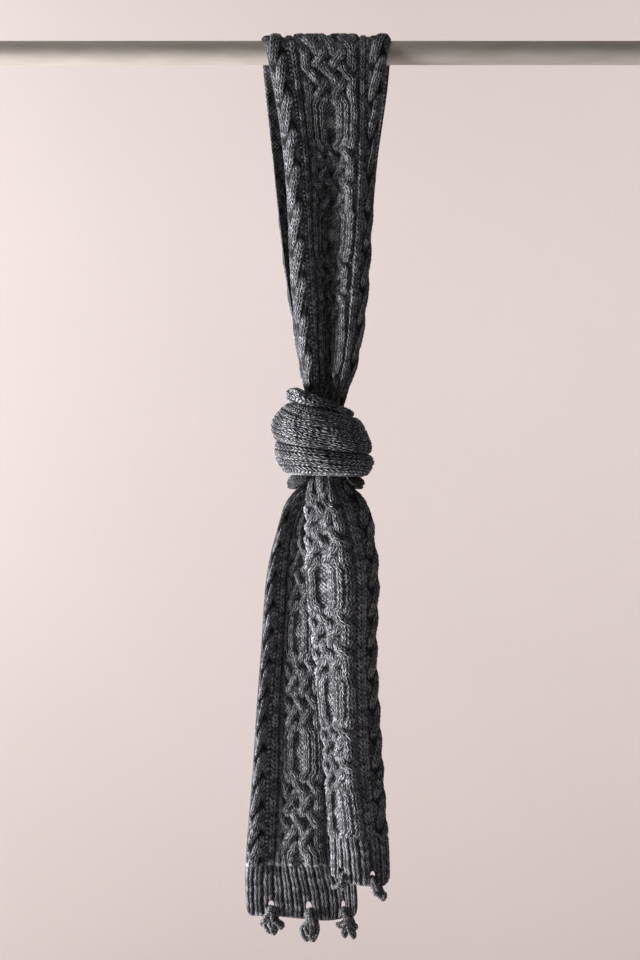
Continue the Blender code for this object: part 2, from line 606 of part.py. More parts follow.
def knot_wrap(wrap):
    """One wrap of the knot: a wall that bulges out between edges that turn in."""
    closed = wrap.end - wrap.start == 360
    sides = round(KNOT_SIDES * (wrap.end - wrap.start) / 360)
    turns = np.radians(np.linspace(wrap.start, wrap.end, sides, endpoint=not closed))
    outer = wrap_side(wrap, turns, np.linspace(0.0, 1.0, 2 * wrap.rows + 5), wrap.rows, 0.0)
    inner = wrap_side(wrap, turns, np.linspace(1.0, 0.0, wrap.rows + 3), 0, WALL)
    return loft_loops(wrap.name, np.concatenate([outer, inner]), closed)


def loft_loops(name, loops, closed):
    """Skin between section loops; loops[step, side] goes round a section and along the wrap."""
    bm = bmesh.new()
    count, sides = loops.shape[:2]
    verts = [[bm.verts.new(loops[step, side] * MM) for step in range(count)] for side in range(sides)]
    for side in range(sides if closed else sides - 1):
        here = verts[side]
        there = verts[(side + 1) % sides]
        for step in range(count):
            after = (step + 1) % count
            bm.faces.new((here[step], here[after], there[after], there[step]))
    if not closed:
        bm.faces.new(verts[0])
        bm.faces.new(verts[-1])
    return finish_object(name, bm)


# ---------------------------------------------------------------- tassels
def eyelet_place(wall, column):
    """Middles in front and behind, depths, lower edge and the hem's height, for an eyelet."""
    outer, plain = wall
    near = slice(column - 1, column + 3)
    cell = (slice(EYELET_ROW, EYELET_ROW + 2), slice(column, column + 2), 0)
    middles = (float(outer[cell].mean()), float(plain[cell].mean()))
    front = float(outer[EYELET_ROW:, near, 1].min())
    back = float(plain[EYELET_ROW:, near, 1].max())
    sill = EYELET_ROW + 1
    low = float(max(outer[sill, near, 2].max(), plain[sill, near, 2].max()))
    hem = float(min(outer[-1, near, 2].min(), plain[-1, near, 2].min()))
    return middles, front, back, low, hem


def tassel(design, wall):
    """Yarn looped through an eyelet: two legs up to it, a head under the hem, hanging strands."""
    middles, front, back, low, hem = eyelet_place(wall, design.column)
    depths = (front - TASSEL_GAP - YARN, front - TASSEL_GAP, back + TASSEL_GAP,
              back + TASSEL_GAP + YARN)
    top = hem - TASSEL_GAP
    inside = sum(middles) / 2
    centre = (inside + design.lean * (low - top), (depths[0] + depths[-1]) / 2)
    cells = len(HEAD_COLUMNS) - 1
    bm = bmesh.new()
    made = bmesh.ops.create_grid(bm, x_segments=cells, y_segments=3, size=1.0)
    for index, vert in enumerate(made["verts"]):
        row, column = divmod(index, cells + 1)
        vert.co = (centre[0] + HEAD_COLUMNS[column], depths[row], top)
    upper = list(bm.faces)
    lower = extrude_head(bm, upper, design, centre, HEAD_GIRTHS[0], True)
    lower = extrude_head(bm, lower, design, centre, HEAD_GIRTHS[1], False)
    legs = sorted(upper, key=lambda face: abs(face.calc_center_median().x - centre[0]))[:3]
    legs.sort(key=lambda face: face.calc_center_median().y)
    raise_leg(bm, legs[0], (middles[0], inside), low, (front + back - SEAM) / 2, 1)
    raise_leg(bm, legs[2], (middles[1], inside), low, (front + back + SEAM) / 2, -1)
    for index, face in enumerate(lower):
        if index % 2 == 0:
            hang_strand(bm, face, design, index, centre[0] + design.lean * design.head)
    bmesh.ops.scale(bm, vec=(MM, MM, MM), verts=bm.verts)
    return finish_object(design.name, bm)


def extrude_head(bm, faces, design, centre, girth, keep):
    """Run the head's faces down by half its height, and give them a girth."""
    made = bmesh.ops.extrude_face_region(bm, geom=faces, use_keep_orig=True)["geom"]
    step = design.head / 2
    for item in made:
        if isinstance(item, bmesh.types.BMVert):
            item.co.x = centre[0] + (item.co.x - centre[0]) * girth + design.lean * step
            item.co.y = centre[1] + (item.co.y - centre[1]) * girth
            item.co.z -= step
    if not keep:
        bmesh.ops.delete(bm, geom=faces, context="FACES")
    return [item for item in made if isinstance(item, bmesh.types.BMFace)]


def raise_leg(bm, face, middles, low, stop, inward):
    """Run a leg of yarn up the wall and into the eyelet, where it stops short of the other leg."""
    for height in (low + TASSEL_GAP, low + TASSEL_GAP + YARN):
        face = bmesh.ops.extrude_discrete_faces(bm, faces=[face])["faces"][0]
        shift = middles[0] - face.calc_center_median().x
        for vert in face.verts:
            vert.co.x += shift
            vert.co.z = height
    sides = [side for edge in face.edges for side in edge.link_faces if side is not face]
    side = max(sides, key=lambda item: item.calc_center_median().y * inward)
    made = bmesh.ops.extrude_discrete_faces(bm, faces=[side])["faces"][0]
    for vert in made.verts:
        vert.co.x += middles[1] - middles[0]
        vert.co.y = stop


def hang_strand(bm, face, design, index, head_x):
    """A strand of yarn from one cell of the head: it spreads, hangs and ends a little bent."""
    start = face.calc_center_median()
    spread = (start.x - head_x) * (0.3 + 0.12 * (index % 3))
    sway = STRAND_SWAY * math.sin(2.4 * index)
    length = design.strands * (0.86 + 0.14 * math.sin(1.7 * index) ** 2)
    for share in STRAND_STEPS:
        face = bmesh.ops.extrude_discrete_faces(bm, faces=[face])["faces"][0]
        now = face.calc_center_median()
        target_x = start.x + spread * math.sin(math.pi * min(share, 0.7))
        target_x += sway * share + design.lean * length * share
        for vert in face.verts:
            vert.co.x = target_x + (vert.co.x - now.x) * STRAND_TAPER
            vert.co.y = now.y + (vert.co.y - now.y) * STRAND_TAPER
            vert.co.z = start.z - length * share


# ---------------------------------------------------------------- rod
def rod():
    """A plain round rail along X."""
    bm = bmesh.new()
    bmesh.ops.create_cone(bm, cap_ends=True, segments=ROD_SIDES, radius1=ROD_RADIUS * MM,
                          radius2=ROD_RADIUS * MM, depth=ROD_LENGTH * MM)
    piece = finish_object("rod", bm)
    piece.rotation_euler = (0.0, math.pi / 2, 0.0)
    return piece


# ---------------------------------------------------------------- materials and assembly
def material(name, colour, roughness):
    made = bpy.data.materials.new(name)
    made.use_nodes = True
    shader = made.node_tree.nodes["Principled BSDF"]
    shader.inputs["Base Color"].default_value = (*colour, 1.0)
    shader.inputs["Roughness"].default_value = roughness
    shader.inputs["Metallic"].default_value = 0.0
    return made


def main():
    for piece in list(bpy.data.objects):
        bpy.data.objects.remove(piece, do_unlink=True)
    collection = bpy.data.collections.new("knit_scarf")
    bpy.context.scene.collection.children.link(collection)
    tail_front, front_wall = tail("tail_front", TAIL_FRONT, TAIL_FRONT_PATTERN, TAIL_FRONT_RIBBING,
                                  TAIL_FRONT_EYELET_Z)
    tail_back, back_wall = tail("tail_back", TAIL_BACK, TAIL_BACK_PATTERN, TAIL_BACK_RIBBING,
                                TAIL_BACK_EYELET_Z)
    walls = {"tail_front": front_wall, "tail_back": back_wall}
    cloth = [drop_front(), drop_back(), tail_front, tail_back]
    cloth += [knot_wrap(wrap) for wrap in WRAPS]
    cloth += [tassel(design, walls[design.tail]) for design in TASSELS]
    pieces = [(rod(), (0.36, 0.32, 0.28), 0.5)]
    pieces += [(piece, (0.075, 0.078, 0.085), 0.95) for piece in cloth]
    for piece, colour, roughness in pieces:
        collection.objects.link(piece)
        piece.data.materials.append(material(piece.name, colour, roughness))


main()
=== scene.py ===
"""Looks of the cable-knit scarf: every stretch is a fine closed shell on its solid's own form.

Tables and shape functions are in millimetres; meshes, lights and the camera are in metres. The
origin is on the rod's axis, the front of the scarf faces -Y and the scarf hangs along -Z.
"""
import math
from collections import namedtuple

import bmesh
import bpy
import numpy as np
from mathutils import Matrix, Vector


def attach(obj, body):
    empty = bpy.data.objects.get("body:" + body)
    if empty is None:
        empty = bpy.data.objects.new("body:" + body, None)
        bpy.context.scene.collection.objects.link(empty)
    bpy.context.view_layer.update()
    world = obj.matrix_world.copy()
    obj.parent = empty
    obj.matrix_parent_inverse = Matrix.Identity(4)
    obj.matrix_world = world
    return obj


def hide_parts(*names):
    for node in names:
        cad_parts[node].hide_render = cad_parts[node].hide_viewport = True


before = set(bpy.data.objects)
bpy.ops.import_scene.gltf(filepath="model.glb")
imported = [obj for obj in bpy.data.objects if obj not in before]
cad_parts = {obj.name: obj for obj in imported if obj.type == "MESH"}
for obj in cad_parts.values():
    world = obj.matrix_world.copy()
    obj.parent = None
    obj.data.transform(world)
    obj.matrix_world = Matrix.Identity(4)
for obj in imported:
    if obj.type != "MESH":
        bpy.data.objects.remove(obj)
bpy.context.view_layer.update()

MM = 0.001

# ---- sizes shared with the solids
ROD_RADIUS = 12.0
SCARF_WIDTH = 130.0
WALL = 2.6  # knitted ground between the raised columns
SEAM = 0.3
ROD_GAP = 0.5

ROPE_WIDTH = 22.0  # two-strand cable along each long edge
ROPE_INSET = 0.5
ROPE_HEIGHT = 4.8
ROPE_STRAND = 0.61  # a strand's width and how far it swings, as shares of the rope's width
ROPE_SWING = 0.195
ROPE_LIFT = (0.66, 0.34)  # a strand's mean height, and its rise and fall, as shares
ROPE_SKEW = 0.15  # lengthens the visible runs between crossings
PLUMP = 3  # fullness of a plump strand; a round one has 2
ROPE_BED = 2.2  # height of the raised knitting under the two strands
RIB_CENTRE = 36.5  # single rib between a rope and the panel
RIB_WIDTH = 7.0
RIB_HEIGHT = 2.4
RIB_STITCH = 6.6
LANES = 6  # strands of the middle plait
LANE_PITCH = 9.8
STRAND_WIDTH = 12.4
PLAIT_HEIGHT = 4.2
PLAIT_OVER = 0.30  # rise of the strand that passes over, as a share of its height
PLAIT_UNDER = 0.6  # dip of the strand that passes under
OVAL_LANES = (11.5, 19.0, 26.5)  # strand places beside an open oval
CROSSING_SHARE = 0.14  # one row of crossings, as a share of the pattern repeat
CROSSINGS = 4  # rows of crossings in one braid
OPENING_SHARE = 0.6  # how quickly an oval opens, in rows of crossings
ROPE_STITCH = 5.8  # width of a knitted column on a strand of a rope, and of the plait
PLAIT_STITCH = 5.2
BOBBLE_HEIGHT = 3.2
BOBBLE_SIZE = 5.0
BOBBLE_DOT = 4.5  # slanted lattice of a bobble's light dots
BOBBLE_RIM = 0.2  # share of a bobble's height at its rim
GLINT_PLACE = 41.3  # painted glints: lines of single bright stitches between the ribs and the ropes
GLINT_HEIGHT = 2.4
GLINT_GAPS = 0.35  # share of the painted glints that are missing

END_RIBS = 13  # ribs across a ribbed end
END_RIB_HEIGHT = 2.8
END_RIB_COLUMN = 0.86  # width of its column of stitches, as a share
RIB_ROW = 4.4
RIB_CLIMB = 0.9  # rows that a leg climbs more on a rib of the ribbed end
RIBBING_BLEND = 6.0
FIRST_ROW = 1.5  # width and height of the ribbed end's first row
FIRST_ROW_HEIGHT = 0.9
HEM_SHARE = 0.35  # share of the ribs' height left at the hem
HEM_BLEND = 3.0

PRESSED_SHARE = 0.3  # share of the relief's height left inside the knot
PRESSED = 25.0  # length of a stretch's end that the knot presses
PRESSED_BLEND = 35.0
STEADY_NORMALS = 0.9  # how far the wall of a deeply folded drop keeps to its mean direction

HALF = SCARF_WIDTH / 2
ROPE_MIDDLE = HALF - ROPE_INSET - ROPE_WIDTH / 2
WRAP_RADIUS = ROD_RADIUS + ROD_GAP  # the cloth's plain side on the rod

# ---- stitches
STITCH = 5.8  # width of one knitted column
ROW = 4.3  # height of one row of stitches
LEG_SHAPE = (0.6, 1.0, 1.3)  # sharpness of a leg and of a row, and rows that a leg climbs
LEG_CORE = 0.45  # height left where the two legs of a stitch meet
LEG_LOW = 0.1  # height left in the gaps between rows
LEG_DEPTH = 1.3  # relief of the yarn in a knit stitch
BAR_LOW = 0.3  # height left beside the bars
BAR_DEPTH = 1.0  # relief of the yarn in a purl stitch
YARN_MEAN = 0.6
UNEVEN = 0.4  # how much stitches differ, as a share of their relief
UNEVEN_PLACE = (0.28, 0.5)  # how far stitches wander across and down
FINE_ACROSS = 0.84  # grid of the patterned side
FINE_DOWN = 0.96
COARSE_ACROSS = 1.05  # grid of the back drop, which hardly shows
COARSE_DOWN = 1.15
GROOVE = 1.3  # drop beside a strand that counts as a full groove
EDGE_ROUND = 2.6  # rounding of a free edge
EDGE_LOW = 0.1  # share of the thickness left at a free edge
RAISED = 3.0  # height of relief at which the painted shade of the hollows is gone
REVERSE_RELIEF = 0.9  # relief of the plain side's stitches
REVERSE_HOLLOW = 0.25  # how far the plain side follows the cables, as a share
# What the materials read at each point: the groove's depth and the height also paint shade into the
# colour, and the light marks hold pale stitches and painted glints.
KINDS = ("across", "along", "knit", "inside", "raised", "light")

# ---- sections of the hanging cloth
# Each row is one level section: its height z, then x and y of the plain side on each fold line.
FOLD_LINES = (-65.0, -43.0, -31.0, -15.0, 0.0, 31.0, 43.0, 65.0)
DROP_FRONT = (
    (0, -60, -12.5, -40, -12.5, -28, -12.5, -13, -12.5, 1, -12.5, 31, -12.5, 42, -12.5, 61, -12.5),
    (-35, -53, -9, -35, -13.5, -24, -11, -10, -10.5, 3, -10.5, 31, -12.5, 41, -12.5, 57, -10),
    (-100, -43, -7, -27, -15.5, -18, -11.5, -7, -7.5, 5.5, -5, 30, -15, 39, -14, 48.5, -6),
    (-175, -37.5, -7, -23, -17.5, -16, -11, -7, -3, 5.5, 0.5, 27, -16.5, 35.5, -15, 42.5, -3),
    (-250, -33, -8, -19, -19.5, -12, -12, -5.5, -3, 5, 0.5, 21.5, -17, 30, -15.5, 37.5, -3),
    (-315, -22.5, -9, -14, -18, -9.5, -13, -3, -6.5, 4.5, -4.5, 15, -15, 21, -14, 26, -4),
    (-340, -18.5, -9, -12.5, -14.5, -9, -12, -3.5, -8.5, 2.5, -8, 10.5, -12, 15, -12, 19, -5),
    (-372, -14, -8, -10, -11, -7, -10.5, -3, -8.5, 0, -8, 4, -8.5, 6.5, -9, 8.5, -5),
)
DROP_BACK = (
    (0, -65, 12.5, -44, 12.5, -32, 12.5, -15, 12.5, 0.5, 12.5, 31, 12.5, 43, 12.5, 64.5, 12.5),
    (-35, -61.5, 10, -43, 12.5, -32, 12, -15, 11, 0, 10.5, 29, 12, 41, 12.5, 61, 9),
    (-100, -54, 6, -39, 13, -29, 11, -14, 8, -1, 7, 24, 12, 36, 12.5, 51.5, 5),
    (-175, -45.5, 4, -34.5, 14, -25, 11, -12, 7, -1, 6, 20, 12, 31, 14, 44.5, 4),
    (-250, -35, 3, -27, 15, -19, 12, -9, 7, 0, 5, 16, 13, 25, 15, 36.5, 3),
    (-315, -23, 3, -18.5, 13, -12, 11.5, -6, 7, 0, 5, 10, 12, 17, 13, 25, 3),
    (-340, -19, 4, -15.5, 10.5, -10.5, 10.5, -5, 7, -1, 5.5, 7, 10, 12, 10.5, 17, 4),
    (-372, -14, 5, -12, 9.5, -8, 9, -5, 7, -1, 6, 3, 8, 5.5, 9, 8.5, 5),
)
TAIL_FRONT = (
    (-398, 8, 1, -2, 1, -6, 0, -11, -5, -6, -10, 3, -11, 9, -9, 15, 0),
    (-434, 12, 0.5, -2, 0.5, -9, -0.5, -15, -7.5, -8, -13, 6, -16.5, 14.5, -12.5, 23, 0),
    (-452, 14.5, -2.5, 0, -1.5, -8, -2.5, -15.5, -8, -7, -14, 12, -19.5, 24, -14.5, 38.5, 0),
    (-480, 18, -6, 2, -5.5, -8, -5, -15.3, -8.5, -5, -15, 20, -22.5, 32, -15.5, 45, 1),
    (-508, 22, -8.5, 4, -7.5, -7, -6.5, -15, -9, -3, -15, 24.5, -24, 37, -15.5, 48, 0),
    (-580, 27, -10, 9, -8.5, -2, -7.5, -9.5, -10.5, 1, -16, 26, -25, 37, -16.5, 47, -2),
    (-647, 34, -9, 16, -8, 4, -7.5, -2, -10, 6.5, -15.5, 26.5, -24, 38.5, -15.5, 49, -1),
    (-755, 40, -7.5, 22, -7, 12, -7, 6.5, -9.5, 12, -14, 33, -22, 44.5, -15, 56.5, -1),
    (-800, 42, -6.5, 25, -6, 15, -6, 9, -9, 15, -14, 38, -19, 49, -13.5, 59, -3),
    (-830, 42, -6, 26, -5.5, 17, -5.5, 9, -8.5, 15, -13.5, 40, -16.5, 50.5, -12, 59.5, -3),
)
TAIL_BACK = (
    (-398, -17, 9, -13, 8, -10, 8.5, -7, 9, -4, 10, 3, 13, 7, 14, 13, 15),
    (-430, -22, 10, -18, 9, -15, 10, -11, 11, -7, 12, 3, 16, 8.5, 17.5, 16, 18),
    (-446, -37, 10, -29.5, 9, -24, 11, -18.5, 11.5, -12.5, 12.5, 1, 16.5, 8, 18, 18, 18.5),
    (-462, -45, 8.5, -38, 9.5, -31, 12.5, -25, 12, -18, 12, -1, 14.5, 8, 17.5, 21, 19),
    (-508, -58, 6, -49, 10.5, -39.5, 15.5, -32, 14, -24, 11, -4, 9.5, 6, 13, 25, 17),
    (-580, -65, 6, -54, 11, -43, 16.5, -35, 14, -27, 9.8, -6, 8.3, 5, 11.5, 25, 15),
    (-647, -70, 5.5, -59, 10.5, -46, 16, -36, 13, -27, 9, -5, 8.3, 6, 11.5, 27, 15),
    (-740, -76, 6, -62, 10, -48, 14.5, -38, 12, -27, 8.5, -3, 8.3, 8, 11.5, 29, 15),
    (-812, -81, 6, -63, 8, -51, 11, -38, 9, -26, 7, -1, 8.5, 9, 11, 27, 14),
    (-846, -80.5, 5, -62, 4, -49, 5, -34, 5, -21, 6, 7, 9, 17, 9, 31.5, 5),
    (-866, -79, 4, -61, 3, -48, 4, -33, 4, -19, 4, 8, 6, 18, 5, 31, 2),
)
# How far a hem lies above its last section at each fold line, and how round its two corners are.
Hem = namedtuple("Hem", "rise left_round right_round")
HEMS = {
    "tail_front": Hem((3.0, 5.0, 7.0, 8.0, 5.0, -0.5, -1.5, -1.0), 5.0, 14.0),
    "tail_back": Hem((3.0, 2.5, 2.0, 0.5, -1.0, -2.0, 0.0, 2.0), 7.0, 9.0),
}
HEM_REACH = 30.0  # height above the hem over which its line fades out

# The pattern of each stretch: height of one bobble, the repeat, the rope's crossing pitch and
# start, the share of the plait's height that is left where the cloth is stretched, and how
# strong the bobble's pale mark is. On the drop the mark is made stronger as painted light, to
# brighten the bobble in the shade of the drop's valley.
Pattern = namedtuple("Pattern", "bobble repeat rope_pitch rope_start relief fleck")
DROP_PATTERN = Pattern(bobble=-71.0, repeat=111.0, rope_pitch=37.0, rope_start=-9.0,
                       relief=1.0, fleck=1.8)
TAIL_FRONT_PATTERN = Pattern(bobble=-533.0, repeat=112.0, rope_pitch=30.0, rope_start=-440.0,
                             relief=0.88, fleck=1.0)
TAIL_BACK_PATTERN = Pattern(bobble=-580.0, repeat=120.0, rope_pitch=29.0, rope_start=-440.0,
                            relief=1.0, fleck=1.0)
# Height where the cables turn into the ribbed end, and how light the first row of the ribs is.
TAIL_FRONT_RIBBING = (-779.0, 0.15)
TAIL_BACK_RIBBING = (-811.0, 1.0)

# Soft troughs, and ridges where the depth is below zero, placed on each stretch: the place
# across the cloth at the crease's middle, its top and bottom, its depth and width, and its lean.
CREASES = {
    "drop_front": (
        (-26, -10, -150, 1.0, 7, 0.03), (24, -30, -210, -0.9, 9, -0.02),
        (-8, -120, -330, 1.1, 5, 0.02), (14, -200, -350, 1.3, 4, -0.03),
        (30, -230, -360, 1.2, 4, 0.02), (-33, -220, -360, 1.2, 4, 0.0),
        (54, -80, -240, 0.8, 6, 0.02), (-50, -150, -320, 0.9, 5, -0.02),
    ),
    "drop_back": (
        (-28, -12, -170, 1.0, 8, 0.02), (12, -40, -230, 1.2, 7, -0.03),
        (36, -60, -330, 0.9, 6, 0.02), (-10, -180, -350, 1.3, 5, 0.03),
        (24, -220, -360, 1.2, 4, 0.0), (-48, -200, -350, 0.8, 5, -0.02),
    ),
    "tail_front": (
        (-4, -405, -500, 1.5, 3, 0.02), (7, -410, -560, 1.3, 4, 0.0),
        (19, -400, -480, 1.6, 3, 0.05), (29, -415, -600, 1.2, 5, 0.03),
        (41, -410, -520, 1.5, 4, 0.05), (53, -420, -640, 1.0, 5, 0.0),
        (4, -620, -780, 0.9, 6, -0.03), (34, -640, -820, 1.1, 6, 0.03),
        (-30, -460, -760, 1.0, 8, 0.01), (-50, -430, -620, 1.1, 6, 0.0),
    ),
    "tail_back": (
        (-50, -405, -540, 1.4, 4, -0.03), (-38, -410, -500, 1.5, 4, -0.02),
        (-26, -400, -600, 1.3, 4, 0.0), (-12, -415, -520, 1.4, 4, 0.02),
        (4, -405, -580, 1.2, 5, 0.02), (20, -420, -540, 1.3, 5, 0.03),
        (36, -410, -640, 1.1, 6, 0.0), (-44, -640, -800, 0.9, 7, -0.02),
        (-6, -660, -830, 0.9, 7, 0.03), (48, -600, -850, 1.2, 8, 0.0),
    ),
}

# Each eyelet: the place across the cloth, its height and its half sizes.
Eyelet = namedtuple("Eyelet", "u z half_width half_height")
EYELETS = {
    "tassel_back_1": Eyelet(-37.5, -853.5, 2.9, 4.0),
    "tassel_back_2": Eyelet(2.5, -853.5, 2.9, 4.0),
    "tassel_back_3": Eyelet(42.5, -853.5, 2.9, 4.0),
    "tassel_front_1": Eyelet(2.5, -819.0, 2.9, 4.0),
    "tassel_front_2": Eyelet(37.5, -819.0, 2.9, 4.0),
}
HOLE_REACH = 2.5  # how far the grid is drawn aside round an eyelet, in its half sizes

# ---- sections of the knot
# Each row is one tilted ring: x and z of its left end, those of its right end, and its reach to
# front and back.
KNOT = (
    (-30.0, -334.0, 22.0, -357.0, -30.5, 29.5),
    (-37.0, -345.0, 30.0, -366.0, -36.5, 36.0),
    (-45.5, -359.0, 37.0, -381.0, -42.0, 40.0),
    (-51.5, -374.0, 42.5, -394.0, -43.5, 42.0),
    (-51.5, -392.0, 44.5, -406.5, -43.0, 41.0),
    (-45.5, -408.0, 41.0, -416.5, -40.0, 38.0),
    (-38.0, -423.0, 36.5, -425.0, -34.0, 34.0),
    (-34.5, -438.0, 33.5, -438.0, -30.0, 31.0),
)
KNOT_SQUARENESS = 0.82  # under 1, so the rings are fuller than ellipses
KNOT_TIP = (0.9, 0.0, -0.6)  # slope out of the knot at its top, its middle and its bottom

# Each wrap of the knot lies between two seams. A seam's level counts rings and sways once in a
# turn, most at its peak. Turns are in degrees from the right, the front being at 270. The columns
# of stitches stand out by the ridge and run along the wrap, each with its kind, V for
# knit and P for purl, and its width. They slant down the wrap's width so many times in a turn,
# and stray from their course. The length is the cloth's along the wrap.
Seam = namedtuple("Seam", "level sway peak")
Wrap = namedtuple("Wrap", "name upper lower bulge ridge columns slant stray start end length")
WRAPS = (
    Wrap("knot_roll", Seam(0.0, 0.0, 0), Seam(1.0, 0.28, 190), 2.6, 1.3,
         (("V", 5.5), ("V", 5.5), ("V", 5)), 1, 0.8, 0, 360, 196),
    Wrap("knot_band", Seam(1.03, 0.28, 190), Seam(3.66, 0.22, 240), 3.0, 1.4,
         (("V", 6), ("V", 5.5), ("V", 5), ("P", 2.5), ("V", 5.5), ("V", 5.5), ("P", 3), ("V", 7),
          ("V", 5.5), ("V", 5)), 1, 1.2, 0, 360, 262),
    Wrap("knot_fold", Seam(3.69, 0.22, 240), Seam(6.0, 0.0, 0), 3.0, 1.5,
         (("V", 6), ("V", 6.5), ("P", 2), ("V", 6.5), ("V", 9.5), ("P", 3.5)), 0, 0.6, 0, 360, 250),
    Wrap("knot_lobe_left", Seam(6.03, 0.0, 0), Seam(6.95, 0.0, 0), 3.0, 1.2,
         (("V", 7), ("P", 2), ("V", 6)), 0, 0.5, 92, 244, 92),
    Wrap("knot_lobe_right", Seam(6.03, 0.0, 0), Seam(6.95, 0.0, 0), 3.0, 1.2,
         (("V", 7), ("P", 2), ("V", 6)), 0, 0.5, -56, 88, 86),
)
END_SHARE = 0.12  # width left at the ends of a wrap that does not go all round
WRAP_TUCK = 2.6  # how far the edges of a wrap turn in
WRAP_ROW = 4.4  # stretched row of stitches on the knot
UNDER_KNOT_SHADE = 0.42  # painted shade: share of the colour left on the cloth tucked under the knot
WRAP_STEP = 0.66  # grid of a wrap
STRETCHED_SHAPE = (0.9, 1.6, 1.1)  # as in LEG_SHAPE, for stretched stitches
WRAP_WAVE = (0.16, 0.4)  # how far the stretched columns wander, in columns and in rows
# Waves of that wander: size, count round the knot, rise across the wrap and shift.
WRAP_WANDER = ((1.0, 5, 9, 0), (0.6, 11, -14, 1.0), (0.7, 17, -23, 2.0), (0.3, 29, 21, 0))
WRAP_SWAY = ((1.0, 4, 7, 1.0), (0.35, 23, -31, 0))
WRAP_LUMP = 0.8  # soft unevenness of the bunched cloth
WRAP_SINK = 0.9  # how deep the columns lie in the wrap
WRAP_INNER_ROWS = 9  # rows of points on a wrap's plain side

# ---- tassels
YARN = 0.8  # radius of the tassels' yarn
YARN_SIDES = 9
YARN_TWIST = 4.6  # length of one turn of its two plies
YARN_LOBE = 0.2  # how far the plies stand out, as a share of the radius
PLY_LOW = 0.35  # painted shade: colour left between the plies
PLY_START = (0.3, 1.0, 0.2)  # direction from which the plies start to wind
CURVE_POINTS = 400  # points of a loop before they are spaced evenly
# Each tassel: how far it leans for each millimetre down, its loops of yarn, each with its shift
# from the middle, half its width and its length below the hem, and the tilts of the yarn tied
# round them.
Tassel = namedtuple("Tassel", "name tail lean loops ties")
TASSELS = (
    Tassel("tassel_back_1", "tail_back", 0.03, ((-4.6, 2.9, 15.5), (3.2, 2.8, 17.0),
           (7.0, 2.2, 11.0), (-7.2, 1.8, 8.0), (-0.8, 2.0, 13.0)), ()),
    Tassel("tassel_back_2", "tail_back", 0.0, ((-4.6, 3.3, 20.0), (4.6, 3.5, 20.5),
           (-3.0, 1.4, 14.0), (5.4, 1.5, 15.0), (0.3, 2.4, 11.0)), ()),
    Tassel("tassel_back_3", "tail_back", 0.2, ((-2.0, 1.8, 18.5), (3.0, 1.8, 19.5),
           (-5.0, 2.4, 8.5), (6.0, 2.2, 11.0)), (0.6,)),
    Tassel("tassel_front_1", "tail_front", -0.3, ((-3.6, 2.6, 7.0), (2.6, 2.4, 8.0),
           (-0.5, 1.3, 5.0)), (0.4,)),
    Tassel("tassel_front_2", "tail_front", 0.46, ((-1.0, 1.3, 9.5), (1.2, 1.3, 9.0),
           (0.1, 3.4, 11.5)), ()),
)
# Shares of a loop's shift at the eyelet, the hem and the tie: every other loop crosses over.
TASSEL_NARROW = ((0.3, -0.6, 0.1), (0.2, 0.7, 0.9))
TASSEL_SWING = 1.7  # how far the ends of the loops swing aside
TASSEL_SWAY = 0.9  # how far whole loops lie before or behind the others
YARN_GAP = 0.3  # gap between the yarn and the cloth
TIE_DROP = 3.6  # how far below the hem the loops are tied, and half the tie's depth
TIE_DEPTH = 4.3
TIE_POINTS = 8
LEG_LAYER = 1.2  # every other loop's legs lie this far outside the others
YARN_STEP = 0.7  # distance between the sections of the yarn
OWN_REACH = 6.0  # yarn nearer than this along its own course is not a neighbour
SHADE_REACH = 2.2  # gap to a neighbour over which the yarn grows light
SHADE_LOW = 0.08  # light left where two yarns touch

# ---- finishes
# The arithmetic of arrays as the node trees name it.
OPERATIONS = {"add": "ADD", "subtract": "SUBTRACT", "multiply": "MULTIPLY", "power": "POWER",
              "sin": "SINE", "cos": "COSINE", "absolute": "ABSOLUTE", "floor": "FLOOR",
              "maximum": "MAXIMUM", "greater": "GREATER_THAN"}

# Scale and detail of the fibres, the soft patches and the fuzz, and ramps of (place, colour).
FIBRES = ((900.0, 3.0), (110.0, 2.0), (2600.0, 2.0))
FIBRE_ROUGHNESS = 0.65
STITCH_TONE = 0.22  # how much the tone differs from stitch to stitch
HEATHER = ((0.30, (0.060, 0.062, 0.071)), (0.48, (0.205, 0.209, 0.231)),
           (0.66, (0.66, 0.668, 0.72)))
LOOSE = ((0.34, (0.03, 0.031, 0.036)), (0.51, (0.10, 0.102, 0.112)),
         (0.63, (0.50, 0.505, 0.53)))
PATCHES = ((0.35, (0.66, 0.67, 0.70)), (0.65, (1.0, 1.0, 1.0)))
# Painted shade between the stitches and in the grooves beside the strands: the colour darkens where
# the yarn lies low. The second ramp does the same for the knot's open stitches and the tassels' yarn.
PAINTED_GAP_SHADE = ((0.08, (0.03, 0.03, 0.035)), (0.45, (0.42, 0.42, 0.43)), (0.8, (1.0, 1.0, 1.0)))
PAINTED_OPEN_GAP_SHADE = ((0.10, (0.015, 0.015, 0.018)), (0.42, (0.36, 0.36, 0.37)), (0.75, (1.0, 1.0, 1.0)))
# Painted shade in the hollows: the colour darkens where the cloth's relief is low.
PAINTED_HOLLOW_SHADE = ((0.0, (0.79, 0.79, 0.80)), (0.7, (1.0, 1.0, 1.0)))
# Colour of the pale marks and of the painted glints.
PALE_AND_GLINT_FLECK = (0.85, 0.84, 0.85, 1.0)
FLECK_SHARE = 0.55
PAINT = ((0.3, (0.49, 0.443, 0.39)), (0.7, (0.603, 0.552, 0.495)))
# Painted light and shade on the rod: a colour factor from its underside to its top, evening out how
# the lamps light it.
PAINTED_ROD_SHADING = ((0.1, (0.66, 0.66, 0.66)), (0.9, (1.0, 1.0, 1.0)))

# ---- lights, camera and room
CAMERA_PLACE = (-0.0065, -2.5, -0.427)
LENS = 93.75
WALL_Y = 5.3
FLOOR_Z = -1.95
ROOM_TOP = 5.0
ROOM_HALF = 9.0
WALL_COLOUR = (0.80, 0.725, 0.705)
SKY_COLOUR = (1.0, 0.95, 0.93, 1.0)
SKY_STRENGTH = 0.03

